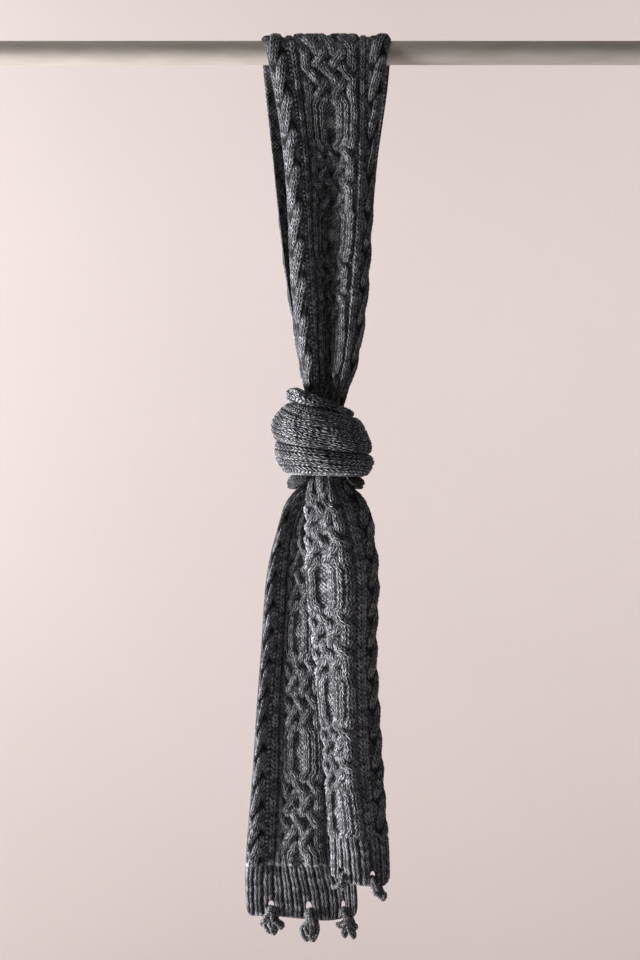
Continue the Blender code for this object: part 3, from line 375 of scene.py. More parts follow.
# Each light: place, aim, width, height, power and colour.
Lamp = namedtuple("Lamp", "name place aim width height power colour")
LAMPS = (
    Lamp("key", (-1.6, -0.2, -0.92), (0.0, 0.0, -0.5), 0.8, 0.9, 96.0, (1.0, 0.985, 0.985)),
    Lamp("floor_bounce", (-0.8, -1.3, -1.75), (0.0, 0.0, -0.3), 1.6, 1.2, 3.0, (1.0, 0.97, 0.95)),
    Lamp("ceiling_bounce", (-1.1, -0.45, 1.5), (-0.2, 0.0, -0.1), 1.4, 1.0, 15.0, (1.0, 0.96, 0.93)),
    Lamp("window_right", (1.9, -0.9, -0.4), (0.0, 0.0, -0.45), 1.0, 1.4, 4.0, (0.93, 0.96, 1.0)),
    Lamp("back_bounce", (0.5, 1.9, 0.3), (0.0, 0.0, -0.4), 1.2, 1.4, 12.0, (1.0, 0.98, 0.97)),
    Lamp("wall_left", (-3.2, 2.6, 0.6), (-1.0, 5.3, -0.4), 2.0, 2.0, 126.0, (1.0, 0.975, 0.98)),
    Lamp("wall_right", (3.0, 2.4, 0.8), (1.2, 5.3, -0.4), 2.0, 2.0, 59.0, (1.0, 0.975, 0.98)),
)

# The cut of what shows of each piece, in metres, how the cloth is held, and what it rests on.
Cut = namedtuple("Cut", "width length held rests_on")


# ---- smooth curves
def spline(knots, values, at):
    """Natural cubic spline through values, one row for each knot, at an array of places."""
    knots = np.asarray(knots, dtype=float)
    values = np.asarray(values, dtype=float)
    flat = values.reshape(len(knots), -1)
    gap = np.diff(knots)
    slope = np.diff(flat, axis=0) / gap[:, None]
    system = np.eye(len(knots))
    change = np.zeros_like(flat)
    for row in range(1, len(knots) - 1):
        system[row, row - 1:row + 2] = (gap[row - 1], 2 * (gap[row - 1] + gap[row]), gap[row])
        change[row] = 6 * (slope[row] - slope[row - 1])
    bend = np.linalg.solve(system, change)
    place = at.ravel()
    piece = np.clip(np.searchsorted(knots, place) - 1, 0, len(gap) - 1)
    width = gap[piece][:, None]
    after = place[:, None] - knots[piece][:, None]
    before = knots[piece + 1][:, None] - place[:, None]
    curve = (bend[piece] * before ** 3 + bend[piece + 1] * after ** 3) / (6 * width)
    curve += (flat[piece] / width - bend[piece] * width / 6) * before
    curve += (flat[piece + 1] / width - bend[piece + 1] * width / 6) * after
    return curve.reshape(at.shape + values.shape[1:])


def smooth_step(share):
    """From 0 to 1, with level ends."""
    share = np.clip(share, 0.0, 1.0)
    return share * share * (3 - 2 * share)


def lifted(low, share):
    """A share of 0 to 1, drawn up to start at a low."""
    return low + (1 - low) * share


def fract(value):
    return value - np.floor(value)


def rounded(distance, width, fullness=2):
    """Height from 0 to 1 across a strand of the given width."""
    return np.sqrt(np.clip(1 - np.abs(2 * distance / width) ** fullness, 0.0, 1.0))


def scatter(first, second):
    """A fixed number from 0 to 1 for each pair of whole numbers."""
    return fract(np.sin(first * 12.9898 + second * 78.233) * 43758.5453)


# ---- stitches and strands
def plain_ground(u, z):
    """The purl ground: height, drop to what lies beside, and place in stitches and rows."""
    return {"height": 0 * u, "margin": GROOVE + 0 * u, "across": u / STITCH, "along": -z / ROW,
            "knit": 0 * u, "light": 0 * u}


def lay(ground, where, **laid):
    """Put new numbers on the ground where a condition holds."""
    for name, value in laid.items():
        ground[name] = np.where(where, value, ground[name])


def lay_strand(ground, height, offset, slope, z, stitch=STITCH, place=0.0):
    """Lay a knitted strand over what is there, with its stitches turned along it.

    The place is where the strand's middle lies in columns: a whole number for two columns side
    by side and a half one for a single column, and its own one for each strand.
    """
    lean = slope / np.sqrt(1 + slope ** 2)
    drop = height - ground["height"]
    lay(ground, (drop <= 0) & (height > 0), margin=np.minimum(ground["margin"], -drop))
    lay(ground, (drop > 0) & (height > 0), margin=drop, height=height, knit=1.0,
        across=offset * np.sqrt(1 - lean ** 2) / stitch + place,
        along=(-z - offset * lean) / ROW)


def lay_rope(ground, offset, z, pattern, place):
    """Two strands that wind round each other; offset is measured from the rope's middle."""
    lay_strand(ground, ROPE_BED * rounded(offset, ROPE_WIDTH), offset, 0.0, z, place=place)
    turn = math.pi * (pattern.rope_start - z) / pattern.rope_pitch
    rate = -math.pi / pattern.rope_pitch * (1 + 2 * ROPE_SKEW * np.cos(2 * turn))
    swing = ROPE_WIDTH * ROPE_SWING
    for phase in (0.0, math.pi):
        skewed = turn + ROPE_SKEW * np.sin(2 * turn) + phase
        aside = offset - swing * np.cos(skewed)
        lift = ROPE_LIFT[0] + ROPE_LIFT[1] * np.sin(skewed)
        height = ROPE_HEIGHT * lift * rounded(aside, ROPE_WIDTH * ROPE_STRAND, PLUMP)
        height = np.where(np.abs(offset) < ROPE_WIDTH / 2, height, 0.0)
        slope = -swing * np.sin(skewed) * rate
        lay_strand(ground, height, aside, slope, z, ROPE_STITCH, place + 5 + round(phase))


def lane_places(from_braid, repeat):
    """Where the six strands run: evenly in a braid, and apart beside an open oval."""
    crossing = CROSSING_SHARE * repeat
    braid_end = crossing * CROSSINGS / 2
    opening = smooth_step((np.abs(from_braid) - braid_end) / (crossing * OPENING_SHARE))
    places = []
    for lane in range(LANES):
        middle = lane + 0.5 - LANES / 2
        even = middle * LANE_PITCH
        oval = math.copysign(OVAL_LANES[int(abs(middle))], middle)
        places.append(even + opening * (oval - even))
    return places


def lay_plait(ground, u, z, pattern):
    """Six strands: rows of three crossings and of two take turns, then an open oval."""
    repeat = pattern.repeat
    from_braid = repeat * (fract((pattern.bobble - z) / repeat) - 0.5)
    crossing = CROSSING_SHARE * repeat
    row_place = from_braid / crossing + CROSSINGS / 2
    row = np.floor(row_place)
    inside = (row >= 0) & (row < CROSSINGS)
    share = np.where(inside, row_place - row, 0.0)
    wide_row = np.mod(row, 2) == 0
    before, places, after = (lane_places(from_braid + shift, repeat) for shift in (-0.5, 0, 0.5))
    for lane in range(LANES):
        side = 1 - 2 * (lane % 2)
        narrow = min(max(lane - side, 0), LANES - 1)
        partner = np.where(wide_row, places[lane + side], places[narrow])
        step = np.where(inside, partner, places[lane]) - places[lane]
        centre = places[lane] + step * (1 - np.cos(math.pi * share)) / 2
        slope = -step * math.pi / 2 * np.sin(math.pi * share) / crossing - after[lane] + before[lane]
        over = np.where(wide_row, np.sign(step), -np.sign(step))
        change = np.where(over > 0, PLAIT_OVER, np.where(over < 0, -PLAIT_UNDER, 0.0))
        lift = 1 + change * np.sin(math.pi * share)
        height = PLAIT_HEIGHT * pattern.relief * lift * rounded(u - centre, STRAND_WIDTH, PLUMP)
        height = np.where(np.abs(u) < RIB_CENTRE - RIB_WIDTH / 2, height, 0.0)
        lay_strand(ground, height, u - centre, slope, z, PLAIT_STITCH, 60 + 7 * lane)
    lay_bobble(ground, u, repeat / 2 - np.abs(from_braid), pattern.fleck)


def lay_bobble(ground, u, from_bobble, fleck):
    """A small bump of pale crossed stitches in the middle of an oval; the fleck makes it paler, which
    on the drop is painted light.
    """
    size = np.exp(-(u / BOBBLE_SIZE) ** 2 - (from_bobble / BOBBLE_SIZE) ** 2)
    dots = 1.0
    for slanted in (u + from_bobble, u - from_bobble):
        dots = dots * (0.5 + 0.5 * np.cos(2 * math.pi * slanted / BOBBLE_DOT))
    over = (BOBBLE_HEIGHT * size > ground["height"]) & (size > BOBBLE_RIM)
    light = np.minimum(1.1 * fleck * np.sqrt(size) * lifted(0.1, dots), 1.0)
    lay(ground, over, height=BOBBLE_HEIGHT * size * lifted(0.3, dots), knit=0.0, margin=GROOVE,
        light=light)


def lay_glints(ground, u, z):
    """Painted glints: lines of single purl bumps beside the inner edges of the ribs, raised and
    coloured bright.
    """
    near = np.exp(-(np.abs(u) - GLINT_PLACE) ** 2)
    dots = np.cos(math.pi * (fract(-z / ROW) - 0.5)) ** 4
    glints = near * dots * (scatter(np.floor(-z / ROW), np.sign(u) * 3.0) > GLINT_GAPS)
    ground["height"] = np.maximum(ground["height"], GLINT_HEIGHT * glints)
    # Painted light: the glints' bright colour.
    ground["light"] = np.maximum(ground["light"], glints)


def lay_ribs(ground, u, z, ribbing):
    """Turn the cables into the ribbed end below its line, which is a ridge of light stitches."""
    top, first_row = ribbing
    share = smooth_step((top - z) / RIBBING_BLEND)
    pitch = SCARF_WIDTH / END_RIBS
    place = np.mod(u + HALF, pitch) - pitch / 2
    ribs = END_RIB_HEIGHT * rounded(place, pitch, PLUMP)
    ground["height"] = ground["height"] + share * (ribs - ground["height"])
    across = place / (END_RIB_COLUMN * pitch) + 0.5 + 3 * np.floor((u + HALF) / pitch)
    climb = RIB_CLIMB * np.abs(2 * fract(across) - 1)
    lay(ground, share > 0.5, across=across, along=climb - z / RIB_ROW, knit=1.0, margin=ribs,
        light=0.0)
    line = first_row * np.exp(-((z - top + FIRST_ROW) / FIRST_ROW) ** 2)
    ground["height"] = ground["height"] + FIRST_ROW_HEIGHT * line
    lay(ground, line > 0.4, knit=0.0)
    dots = np.cos(math.pi * u / STITCH) ** 2 * lifted(0.3, scatter(np.round(u / STITCH), 5.0))
    ground["light"] = np.maximum(ground["light"], line * dots)


def uneven(u, z):
    """Places in the pattern, drawn about a little as in hand knitting."""
    across = np.sin(0.31 * z + 1.3 * np.sin(0.11 * u)) + np.sin(0.83 * z + 0.21 * u + 2.0)
    down = np.sin(0.42 * u + 0.9 * np.sin(0.09 * z)) + np.sin(0.19 * u - 0.37 * z + 1.0)
    edge = smooth_step((HALF - np.abs(u)) / 6.0)
    return u + UNEVEN_PLACE[0] * across * edge, z + UNEVEN_PLACE[1] * down


def knit_pattern(u, z, pattern, ribbing):
    """The whole pattern over the cloth's width: ropes, single ribs, the plait and the ribbed end."""
    u, z = uneven(u, z)
    ground = plain_ground(u, z)
    for middle, place in ((-ROPE_MIDDLE, 20), (ROPE_MIDDLE, 40)):
        lay_rope(ground, u - middle, z, pattern, place)
    for middle in (-RIB_CENTRE, RIB_CENTRE):
        height = RIB_HEIGHT * rounded(u - middle, RIB_WIDTH)
        lay_strand(ground, height, u - middle, 0.0, z, RIB_STITCH, round(middle) + 0.5)
    lay_plait(ground, u, z, pattern)
    lay_glints(ground, u, z)
    if ribbing:
        lay_ribs(ground, u, z, ribbing)
    return ground


def yarn_height(across, along, knit, shape=LEG_SHAPE):
    """Height from 0 to 1 of the yarn in each stitch: two slanted legs, or a low cross bar.

    The meshes give it arrays and the materials give it values of their node trees.
    """
    edge = np.abs(2 * fract(across) - 1)
    leg = np.maximum(np.sin(math.pi * edge) ** shape[0], LEG_CORE * (1 - edge))
    row = np.sin(math.pi * fract(along + shape[2] * edge)) ** shape[1]
    double = 2 * across
    bar = 0.5 + 0.5 * np.cos(2 * math.pi * along + math.pi * np.floor(double))
    bar = BAR_LOW + (1 - BAR_LOW) * bar * np.sin(math.pi * fract(double)) ** 0.5
    is_knit = knit > 0.5
    return leg * lifted(LEG_LOW, row) * is_knit + bar * (1 - is_knit)


def ground_yarn(ground, shape=LEG_SHAPE):
    return yarn_height(ground["across"], ground["along"], ground["knit"], shape)


def stitch_relief(ground, shape=LEG_SHAPE):
    """The stitches' own relief, and how deep the groove beside each strand is, from 0 to 1, which
    also paints shade into the groove's colour.
    """
    chance = scatter(np.floor(ground["across"]), np.floor(ground["along"]))
    depth = np.where(ground["knit"] > 0.5, LEG_DEPTH, BAR_DEPTH)
    inside = smooth_step(ground["margin"] / GROOVE)
    relief = depth * (ground_yarn(ground, shape) - YARN_MEAN) * (1 - UNEVEN / 2 + UNEVEN * chance)
    return relief * inside, inside


# ---- the hanging surfaces
def section_points(sections, u, z):
    """Points of the plain side: splines down the fold lines, then across them."""
    table = np.array(sections)
    level = spline(-table[:, 0], table[:, 1:].reshape(-1, len(FOLD_LINES), 2), -z)
    weights = spline(FOLD_LINES, np.eye(len(FOLD_LINES)), u)
    flat = np.einsum("rcf,rcfk->rck", weights, level)
    return np.concatenate([flat, z[..., None]], axis=2)


def over_rod_points(u, z, turn):
    """The hanging front drop, continued over the rod; turn is the angle back from its front."""
    hanging, front, back = (section_points(sections, u, height) for sections, height in
                            ((DROP_FRONT, z), (DROP_FRONT, 0 * u), (DROP_BACK, 0 * u)))
    on_rod = front + smooth_step(turn / (math.pi / 2))[..., None] * (back - front)
    on_rod[..., 1] = -WRAP_RADIUS * np.cos(turn)
    on_rod[..., 2] = WRAP_RADIUS * np.sin(turn)
    return np.where(turn[..., None] > 0, on_rod, hanging)


def hem_heights(name, u, z):
    """Heights of a tail's grid, drawn up near the hem so that it slopes and has round corners."""
    hem = HEMS[name]
    rise = spline(FOLD_LINES, hem.rise, u)
    for side, size in ((-1, hem.left_round), (1, hem.right_round)):
        inside = np.clip(1 - (HALF - side * u) / size, 0.0, 1.0)
        rise += size * (1 - np.sqrt(1 - inside ** 2))
    return z + rise * smooth_step((z.min() + HEM_REACH - z) / HEM_REACH)


def surface_normals(points, steady=0.0):
    """Unit normals of a grid whose rows run down the front and columns run right: they face -Y."""
    normals = np.cross(np.gradient(points, axis=0), np.gradient(points, axis=1))
    normals /= np.linalg.norm(normals, axis=2, keepdims=True)
    normals += steady * normals.mean(axis=1, keepdims=True)
    return normals / np.linalg.norm(normals, axis=2, keepdims=True)


def crease_depth(name, u, z):
    """How far the creases push the whole wall back."""
    total = 0 * u
    for middle_u, top, bottom, depth, width, lean in CREASES[name]:
        along = (top - z) / (top - bottom)
        across = (u - middle_u - lean * (z - (top + bottom) / 2)) / width
        window = np.sin(math.pi * np.clip(along, 0.0, 1.0)) ** 1.5
        total += depth * window * np.exp(-across ** 2)
    return total


# ---- shells
def even_steps(start, end, step):
    """Places from start to end, an even number of steps apart, each about a step long."""
    count = 2 * max(1, round(abs(end - start) / step / 2))
    return np.linspace(start, end, count + 1)


def draw_aside(u, z, eyelet):
    """Find an eyelet's block of cells and draw the grid aside, so that the block's rim is an oval."""
    rows = [2 * round(np.abs(z[::2, 0] - place).argmin()) for place in
            (eyelet.z + eyelet.half_height, eyelet.z - eyelet.half_height)]
    columns = [2 * round(np.abs(u[0, ::2] - place).argmin()) for place in
               (eyelet.u - eyelet.half_width, eyelet.u + eyelet.half_width)]
    middle_u = (u[0, columns[0]] + u[0, columns[1]]) / 2
    middle_z = (z[rows[0], 0] + z[rows[1], 0]) / 2
    across = (u - middle_u) / (u[0, columns[1]] - middle_u)
    down = (z - middle_z) / (z[rows[0], 0] - middle_z)
    square = np.maximum(np.abs(across), np.abs(down))
    round_share = square / np.maximum(np.hypot(across, down), 1e-9)
    pull = 1 - smooth_step((square - 1) / (HOLE_REACH - 1))
    scale = np.where(square > 0, 1 - pull * (1 - round_share), 1.0)
    return middle_u + (u - middle_u) * scale, middle_z + (z - middle_z) * scale, (rows, columns)


def edge_fullness(u, z, hem, eyelets):
    """Share of the wall's thickness: less towards its long edges, its hem and its eyelets."""
    distance = HALF - np.abs(u)
    if hem is not None:
        distance = np.minimum(distance, z - hem)
    for eyelet in eyelets:
        out = np.hypot((u - eyelet.u) / eyelet.half_width, (z - eyelet.z) / eyelet.half_height)
        distance = np.minimum(distance, (out - 1) * eyelet.half_width)
    near = np.clip(distance / EDGE_ROUND, 0.0, 1.0)
    return lifted(EDGE_LOW, np.sqrt(1 - (1 - near) ** 2))


def shell_faces(rows, columns, blocks):
    """Faces of a closed shell: a fine side, a side of every other point, and rims between them."""
    outer = np.arange(rows * columns).reshape(rows, columns)
    inner = np.full((rows, columns), -1)
    coarse = inner[::2, ::2]
    coarse[...] = rows * columns + np.arange(coarse.size).reshape(coarse.shape)
    kept = np.ones((rows - 1, columns - 1), dtype=bool)
    for (top, bottom), (left, right) in blocks:
        kept[top:bottom, left:right] = False
    front = np.stack([outer[:-1, :-1], outer[1:, :-1], outer[1:, 1:], outer[:-1, 1:]], axis=-1)
    back = np.stack([coarse[:-1, :-1], coarse[:-1, 1:], coarse[1:, 1:], coarse[1:, :-1]], axis=-1)
    faces = front[kept].tolist() + back[kept[::2, ::2]].tolist()
    for (top, bottom), (left, right) in (((0, rows - 1), (0, columns - 1)), *blocks):
        rim = [(top, column) for column in range(left, right)]
        rim += [(row, right) for row in range(top, bottom)]
        rim += [(bottom, column) for column in range(right, left, -1)]
        rim += [(row, left) for row in range(bottom, top - 1, -1)]
        for first, second, third in zip(rim[0:-1:2], rim[1::2], rim[2::2]):
            faces.append([outer[first], outer[second], outer[third], inner[third], inner[first]])
    return faces


def add_object(name, data):
    """A new object of the scene."""
    made = bpy.data.objects.new(name, data)
    bpy.context.scene.collection.objects.link(made)
    return made


def make_object(name, points, faces, values, sides=0, seam=0):
    """A closed mesh object facing out, with one number of each kind for each point.

    Where the mesh closes on itself, the places along it go on past its last side by the seam.
    """
    mesh = bpy.data.meshes.new(name)
    mesh.from_pydata((points * MM).tolist(), [], faces)
    corners = np.zeros(len(mesh.loops), dtype=np.int64)
    mesh.loops.foreach_get("vertex_index", corners)
    for kind, numbers in values.items():
        attribute = mesh.attributes.new(kind, "FLOAT", "CORNER")
        spread = np.asarray(numbers, dtype=np.float32)[corners]
        if seam and kind == "along":
            quads = corners.reshape(-1, 4) % sides
            crosses = (quads.max(axis=1) == sides - 1) & (quads.min(axis=1) == 0)
            spread += seam * (crosses[:, None] & (quads == 0)).ravel()
        attribute.data.foreach_set("value", spread)
    bm = bmesh.new()
    bm.from_mesh(mesh)
    bmesh.ops.recalc_face_normals(bm, faces=bm.faces)
    if bm.calc_volume(signed=True) < 0:
        bmesh.ops.reverse_faces(bm, faces=bm.faces)
    bm.to_mesh(mesh)
    bm.free()
    mesh.shade_smooth()
    return add_object(name, mesh)


def both_sides(front, back, thin=1):
    """What the materials read: the numbers of the front's points and of a thinned back's."""
    return {kind: np.concatenate([front[kind].ravel(), back[kind][::thin, ::thin].ravel()])
            for kind in KINDS}


def cloth_shell(name, u, z, path, plain, normals, pattern, end, ribbing=None, hem=None,
                eyelets=(), blocks=()):
    """One stretch of the scarf: patterned outside, reversed pattern on its plain side.

    The path is each point's height in the pattern, and the end is the hidden end's height.
    """
    ground = knit_pattern(u, path, pattern, ribbing)
    relief, inside = stitch_relief(ground)
    free = smooth_step((np.abs(z - end) - PRESSED) / PRESSED_BLEND)
    height = ground["height"] * lifted(PRESSED_SHARE, free)
    if hem is not None:
        height *= lifted(HEM_SHARE, smooth_step((z - hem) / HEM_BLEND))
    fullness = edge_fullness(u, z, hem, eyelets)[..., None]
    middle = plain + normals * (WALL / 2 - crease_depth(name, u, z))[..., None]
    outer = middle + normals * fullness * (WALL / 2 + height + relief)[..., None]
    reverse = dict(plain_ground(u, path), knit=1.0 - ground["knit"])
    bumps = REVERSE_RELIEF * (ground_yarn(reverse) - 0.5) - REVERSE_HOLLOW * height
    inner = middle - normals * fullness * (WALL / 2 + bumps)[..., None]
    points = np.concatenate([outer.reshape(-1, 3), inner[::2, ::2].reshape(-1, 3)])
    # Painted shade: the front darkens where its relief is low, and the plain side a little behind the
    # cables and in its grooves.
    values = both_sides(dict(ground, inside=inside, raised=height / RAISED),
                        dict(reverse, inside=lifted(0.4, inside), raised=0.8 - 0.06 * height), 2)
    piece = make_object(name + "_knit", points, shell_faces(*u.shape, blocks), values)
    return piece, (outer, inner)


def grid(rows, columns):
    """The column and the row value of every point of a grid."""
    return np.meshgrid(columns, rows)


def drop_front():
    """From the back of the rod over its top and down the front, into the knot."""
    end = DROP_FRONT[-1][0]
    over = even_steps((math.pi - SEAM / WRAP_RADIUS) * (WRAP_RADIUS + WALL), 0.0, FINE_DOWN)
    down = even_steps(0.0, end, FINE_DOWN)[1:]
    u, path = grid(np.concatenate([over, down]), even_steps(-HALF, HALF, FINE_ACROSS))
    z = np.minimum(path, 0.0)
    plain = over_rod_points(u, z, np.maximum(path, 0.0) / (WRAP_RADIUS + WALL))
    normals = surface_normals(plain, STEADY_NORMALS)
    return cloth_shell("drop_front", u, z, path, plain, normals, DROP_PATTERN, end)[0]


def drop_back():
    """From the back of the rod down behind the front drop, into the knot."""
    end = DROP_BACK[-1][0]
    u, z = grid(even_steps(0.0, end, COARSE_DOWN), even_steps(-HALF, HALF, COARSE_ACROSS))
    plain = section_points(DROP_BACK, u, z)
    normals = -surface_normals(plain, STEADY_NORMALS)
    path = math.pi * (WRAP_RADIUS + WALL) - z
    return cloth_shell("drop_back", u, z, path, plain, normals, DROP_PATTERN, end)[0]


def tail(name, sections, pattern, ribbing):
    """A tail with its ribbed end: the piece, its two sides and the block of each eyelet."""
    end, hem = sections[0][0], sections[-1][0]
    u, z = grid(even_steps(end, hem, FINE_DOWN), even_steps(-HALF, HALF, FINE_ACROSS))
    eyelets = {tassel.name: EYELETS[tassel.name] for tassel in TASSELS if tassel.tail == name}
    blocks = {}
    for tassel, eyelet in eyelets.items():
        u, z, blocks[tassel] = draw_aside(u, z, eyelet)
    plain = section_points(sections, u, hem_heights(name, u, z))
    piece, sides = cloth_shell(name, u, z, z, plain, surface_normals(plain), pattern, end, ribbing,
                               hem, eyelets.values(), blocks.values())
    return piece, sides, blocks


# ---- the knot
def knot_points(turn, level, outward):
    """Points on the knot's form at turns round it and ring levels, moved out by a distance.

    The way out is level round the knot's middle, tipped up at its top and down below.
    """
    rings = spline(range(len(KNOT)), KNOT, level)
    left_x, left_z, right_x, right_z, front, back = np.moveaxis(rings, -1, 0)
    across, deep = (np.sign(part) * np.abs(part) ** KNOT_SQUARENESS
                    for part in (np.cos(turn), np.sin(turn)))
    x = (left_x + right_x) / 2 + (right_x - left_x) / 2 * across
    y = (front + back) / 2 + (back - front) / 2 * deep
    z = (left_z + right_z) / 2 + (right_z - left_z) / 2 * across
    last = len(KNOT) - 1
    tip = spline((0, last / 2, last), KNOT_TIP, level)
    normals = np.stack([np.cos(turn), np.sin(turn), tip], axis=-1)
    normals /= np.linalg.norm(normals, axis=2, keepdims=True)
    return np.stack([x, y, z], axis=-1) + normals * outward[..., None]


def wrap_levels(wrap, turn, share):
    """Ring levels across a wrap, from its upper seam to its lower one, narrow at its free ends."""
    upper, lower = (seam.level + seam.sway * np.cos(turn - math.radians(seam.peak))
                    for seam in (wrap.upper, wrap.lower))
    if wrap.end - wrap.start < 360:
        along = (np.degrees(turn) - wrap.start) / (wrap.end - wrap.start)
        share = share * lifted(END_SHARE, np.sin(math.pi * along) ** 0.5)
    return upper + (lower - upper) * share


def waves(turn, share, terms):
    """A sum of waves: size, count round the knot, rise across the wrap and shift of each."""
    return sum(size * np.sin(count * turn + rise * share + shift)
               for size, count, rise, shift in terms)


def wrap_pattern(wrap, turn, share):
    """Columns of stretched stitches that run along a wrap."""
    widths = np.array([width for _, width in wrap.columns], dtype=float)
    ends = np.concatenate([[0.0], np.cumsum(widths)])
    wander = waves(turn, share, WRAP_WANDER) * wrap.stray * WRAP_WAVE[0] * widths.mean()
    slant = wrap.slant * turn / (2 * math.pi)
    place = np.mod((share - slant) * ends[-1] + wander * np.sin(math.pi * share), ends[-1])
    ground = plain_ground(place, 0 * turn)
    rows = round(wrap.length / WRAP_ROW)
    ground["along"] = turn / math.radians(wrap.end - wrap.start) * rows
    ground["along"] += wrap.stray * WRAP_WAVE[1] * waves(turn, share, WRAP_SWAY)
    for start, (kind, width) in zip(ends, wrap.columns):
        offset = place - start - width / 2
        ridge = wrap.ridge * rounded(offset, width, 2.6)
        if kind == "V":
            lay(ground, np.abs(offset) <= width / 2, knit=1.0, height=ridge,
                margin=GROOVE * ridge / wrap.ridge, across=offset / width + 0.5)
    return ground


def wrap_points(wrap, turn, share, relief):
    """Points of a wrap: it bulges out of the knot's form, less where it is narrow."""
    width = wrap_levels(wrap, turn, 1.0) - wrap_levels(wrap, turn, 0.0)
    fullness = width / (wrap.lower.level - wrap.upper.level)
    lumps = WRAP_LUMP * np.sin(3 * turn + 2.1 * share + 0.6) * np.sin(2.2 * share + turn)
    lumps += WRAP_LUMP * np.sin(7 * turn - 5.0 * share + 1.4)
    crown = np.sin(math.pi * share) ** 0.5
    outward = fullness * (WRAP_TUCK + wrap.bulge + lumps) * crown - WRAP_TUCK + relief
    return knot_points(turn, wrap_levels(wrap, turn, share), outward)


def knot_wrap(wrap):
    """One wrap of the knot: a wall that bulges out between edges that turn in."""
    closed = wrap.end - wrap.start == 360
    # Painted shade: a wrap tucked under the knot has its colour darkened.
    lit = 1.0 if closed else UNDER_KNOT_SHADE
    sides = round(wrap.length / WRAP_STEP)
    turns = np.radians(np.linspace(wrap.start, wrap.end, sides, endpoint=not closed))
    width = sum(width for _, width in wrap.columns)
    turn, share = np.meshgrid(turns, np.linspace(0.0, 1.0, round(width / WRAP_STEP)))
    ground = wrap_pattern(wrap, turn, share)
    relief, inside = stitch_relief(ground, STRETCHED_SHAPE)
    relief = ground["height"] - WRAP_SINK + relief
    relief = relief * smooth_step(8 * share) * smooth_step(8 * (1 - share))
    outer = wrap_points(wrap, turn, share, relief)
    front = dict(ground, inside=lit * inside, raised=lit * (ground["height"] + 0.6) / RAISED)
    turn, share = np.meshgrid(turns, np.linspace(1.0, 0.0, WRAP_INNER_ROWS))
    inner = wrap_points(wrap, turn, share, -WALL)
    # The wrap's hidden plain side gets an even painted shade.
    back = dict(wrap_pattern(wrap, turn, share), knit=0 * share, inside=0.6 + 0 * share,
                raised=0.5 + 0 * share)
    loops = np.concatenate([outer, inner])
    seam = round(wrap.length / WRAP_ROW) if closed else 0
    return make_object(wrap.name + "_knit", loops.reshape(-1, 3),
                       tube_faces(*loops.shape[:2], closed), both_sides(front, back), sides, seam)


def tube_faces(count, sides, closed=True):
    """Faces between section loops whose points are numbered count steps by sides."""
    step, side = np.meshgrid(np.arange(count), np.arange(sides if closed else sides - 1),
                             indexing="ij")
    after, there = (step + 1) % count, (side + 1) % sides
    quads = np.stack([step * sides + side, after * sides + side, after * sides + there,
                      step * sides + there], axis=-1).reshape(-1, 4).tolist()
    if not closed:
        quads.append([row * sides for row in range(count)])
        quads.append([row * sides + sides - 1 for row in range(count)])
    return quads


# ---- tassels
def closed_curve(stations, step):
    """Evenly spaced points on a smooth closed curve through the stations, and its length."""
    looped = np.concatenate([stations[-3:], stations, stations[:3]])
    length = np.concatenate([[0], np.cumsum(np.linalg.norm(np.diff(looped, axis=0), axis=1))])
    dense = spline(length, looped, np.linspace(length[3], length[-3], CURVE_POINTS, endpoint=False))
    ring = np.concatenate([dense, dense[:1]])
    place = np.concatenate([[0], np.cumsum(np.linalg.norm(np.diff(ring, axis=0), axis=1))])
    at = np.linspace(0, place[-1], round(place[-1] / step), endpoint=False)
    return np.stack([np.interp(at, place, ring[:, axis]) for axis in range(3)], axis=1), place[-1]


def yarn_tube(stations):
    """A loop of two-ply yarn: its two plies wind round the curve through the stations."""
    points, length = closed_curve(stations, YARN_STEP)
    tangent = np.roll(points, -1, axis=0) - np.roll(points, 1, axis=0)
    tangent /= np.linalg.norm(tangent, axis=1, keepdims=True)
    side = [np.cross(tangent[0], PLY_START)]
    for ahead in tangent[1:]:
        carried = side[-1] - ahead * (side[-1] @ ahead)
        side.append(carried / np.linalg.norm(carried))
    side = np.array(side) / np.linalg.norm(side[0])
    up = np.cross(tangent, side)
    angle = np.linspace(0, 2 * math.pi, YARN_SIDES, endpoint=False)
    turns = round(length / YARN_TWIST)
    phase = angle[None, :] - 2 * math.pi * turns * np.arange(len(points))[:, None] / len(points)
    lobe = np.abs(np.cos(phase))
    radius = YARN * (1 - YARN_LOBE + YARN_LOBE * lobe)
    ring = points[:, None] + radius[..., None] * (
        np.cos(angle)[None, :, None] * side[:, None] + np.sin(angle)[None, :, None] * up[:, None])
    # The second value is the painted shade between the plies.
    return ring, lifted(PLY_LOW, lobe), points


def hole_place(sides, block):
    """An eyelet: its middle in the wall, the wall's front and back, its sill and the hem."""
    (_, bottom), (left, right) = block
    outer, inner = sides
    column = (left + right) // 2
    middle = (outer[bottom, column] + inner[bottom, column]) / 2
    front = outer[bottom:, left:right + 1, 1].min()
    back = inner[bottom:, left:right + 1, 1].max()
    sill = max(outer[bottom, column, 2], inner[bottom, column, 2])
    return middle, front, back, sill, outer[-1, column, 2]


def hung(tassel, place, course):
    """A course of yarn in the eyelet's place, leaning as its tassel does."""
    middle, sill = place[0], place[3]
    return np.array([(middle[0] + tassel.lean * (sill - z) + x, y, z) for x, y, z in course])


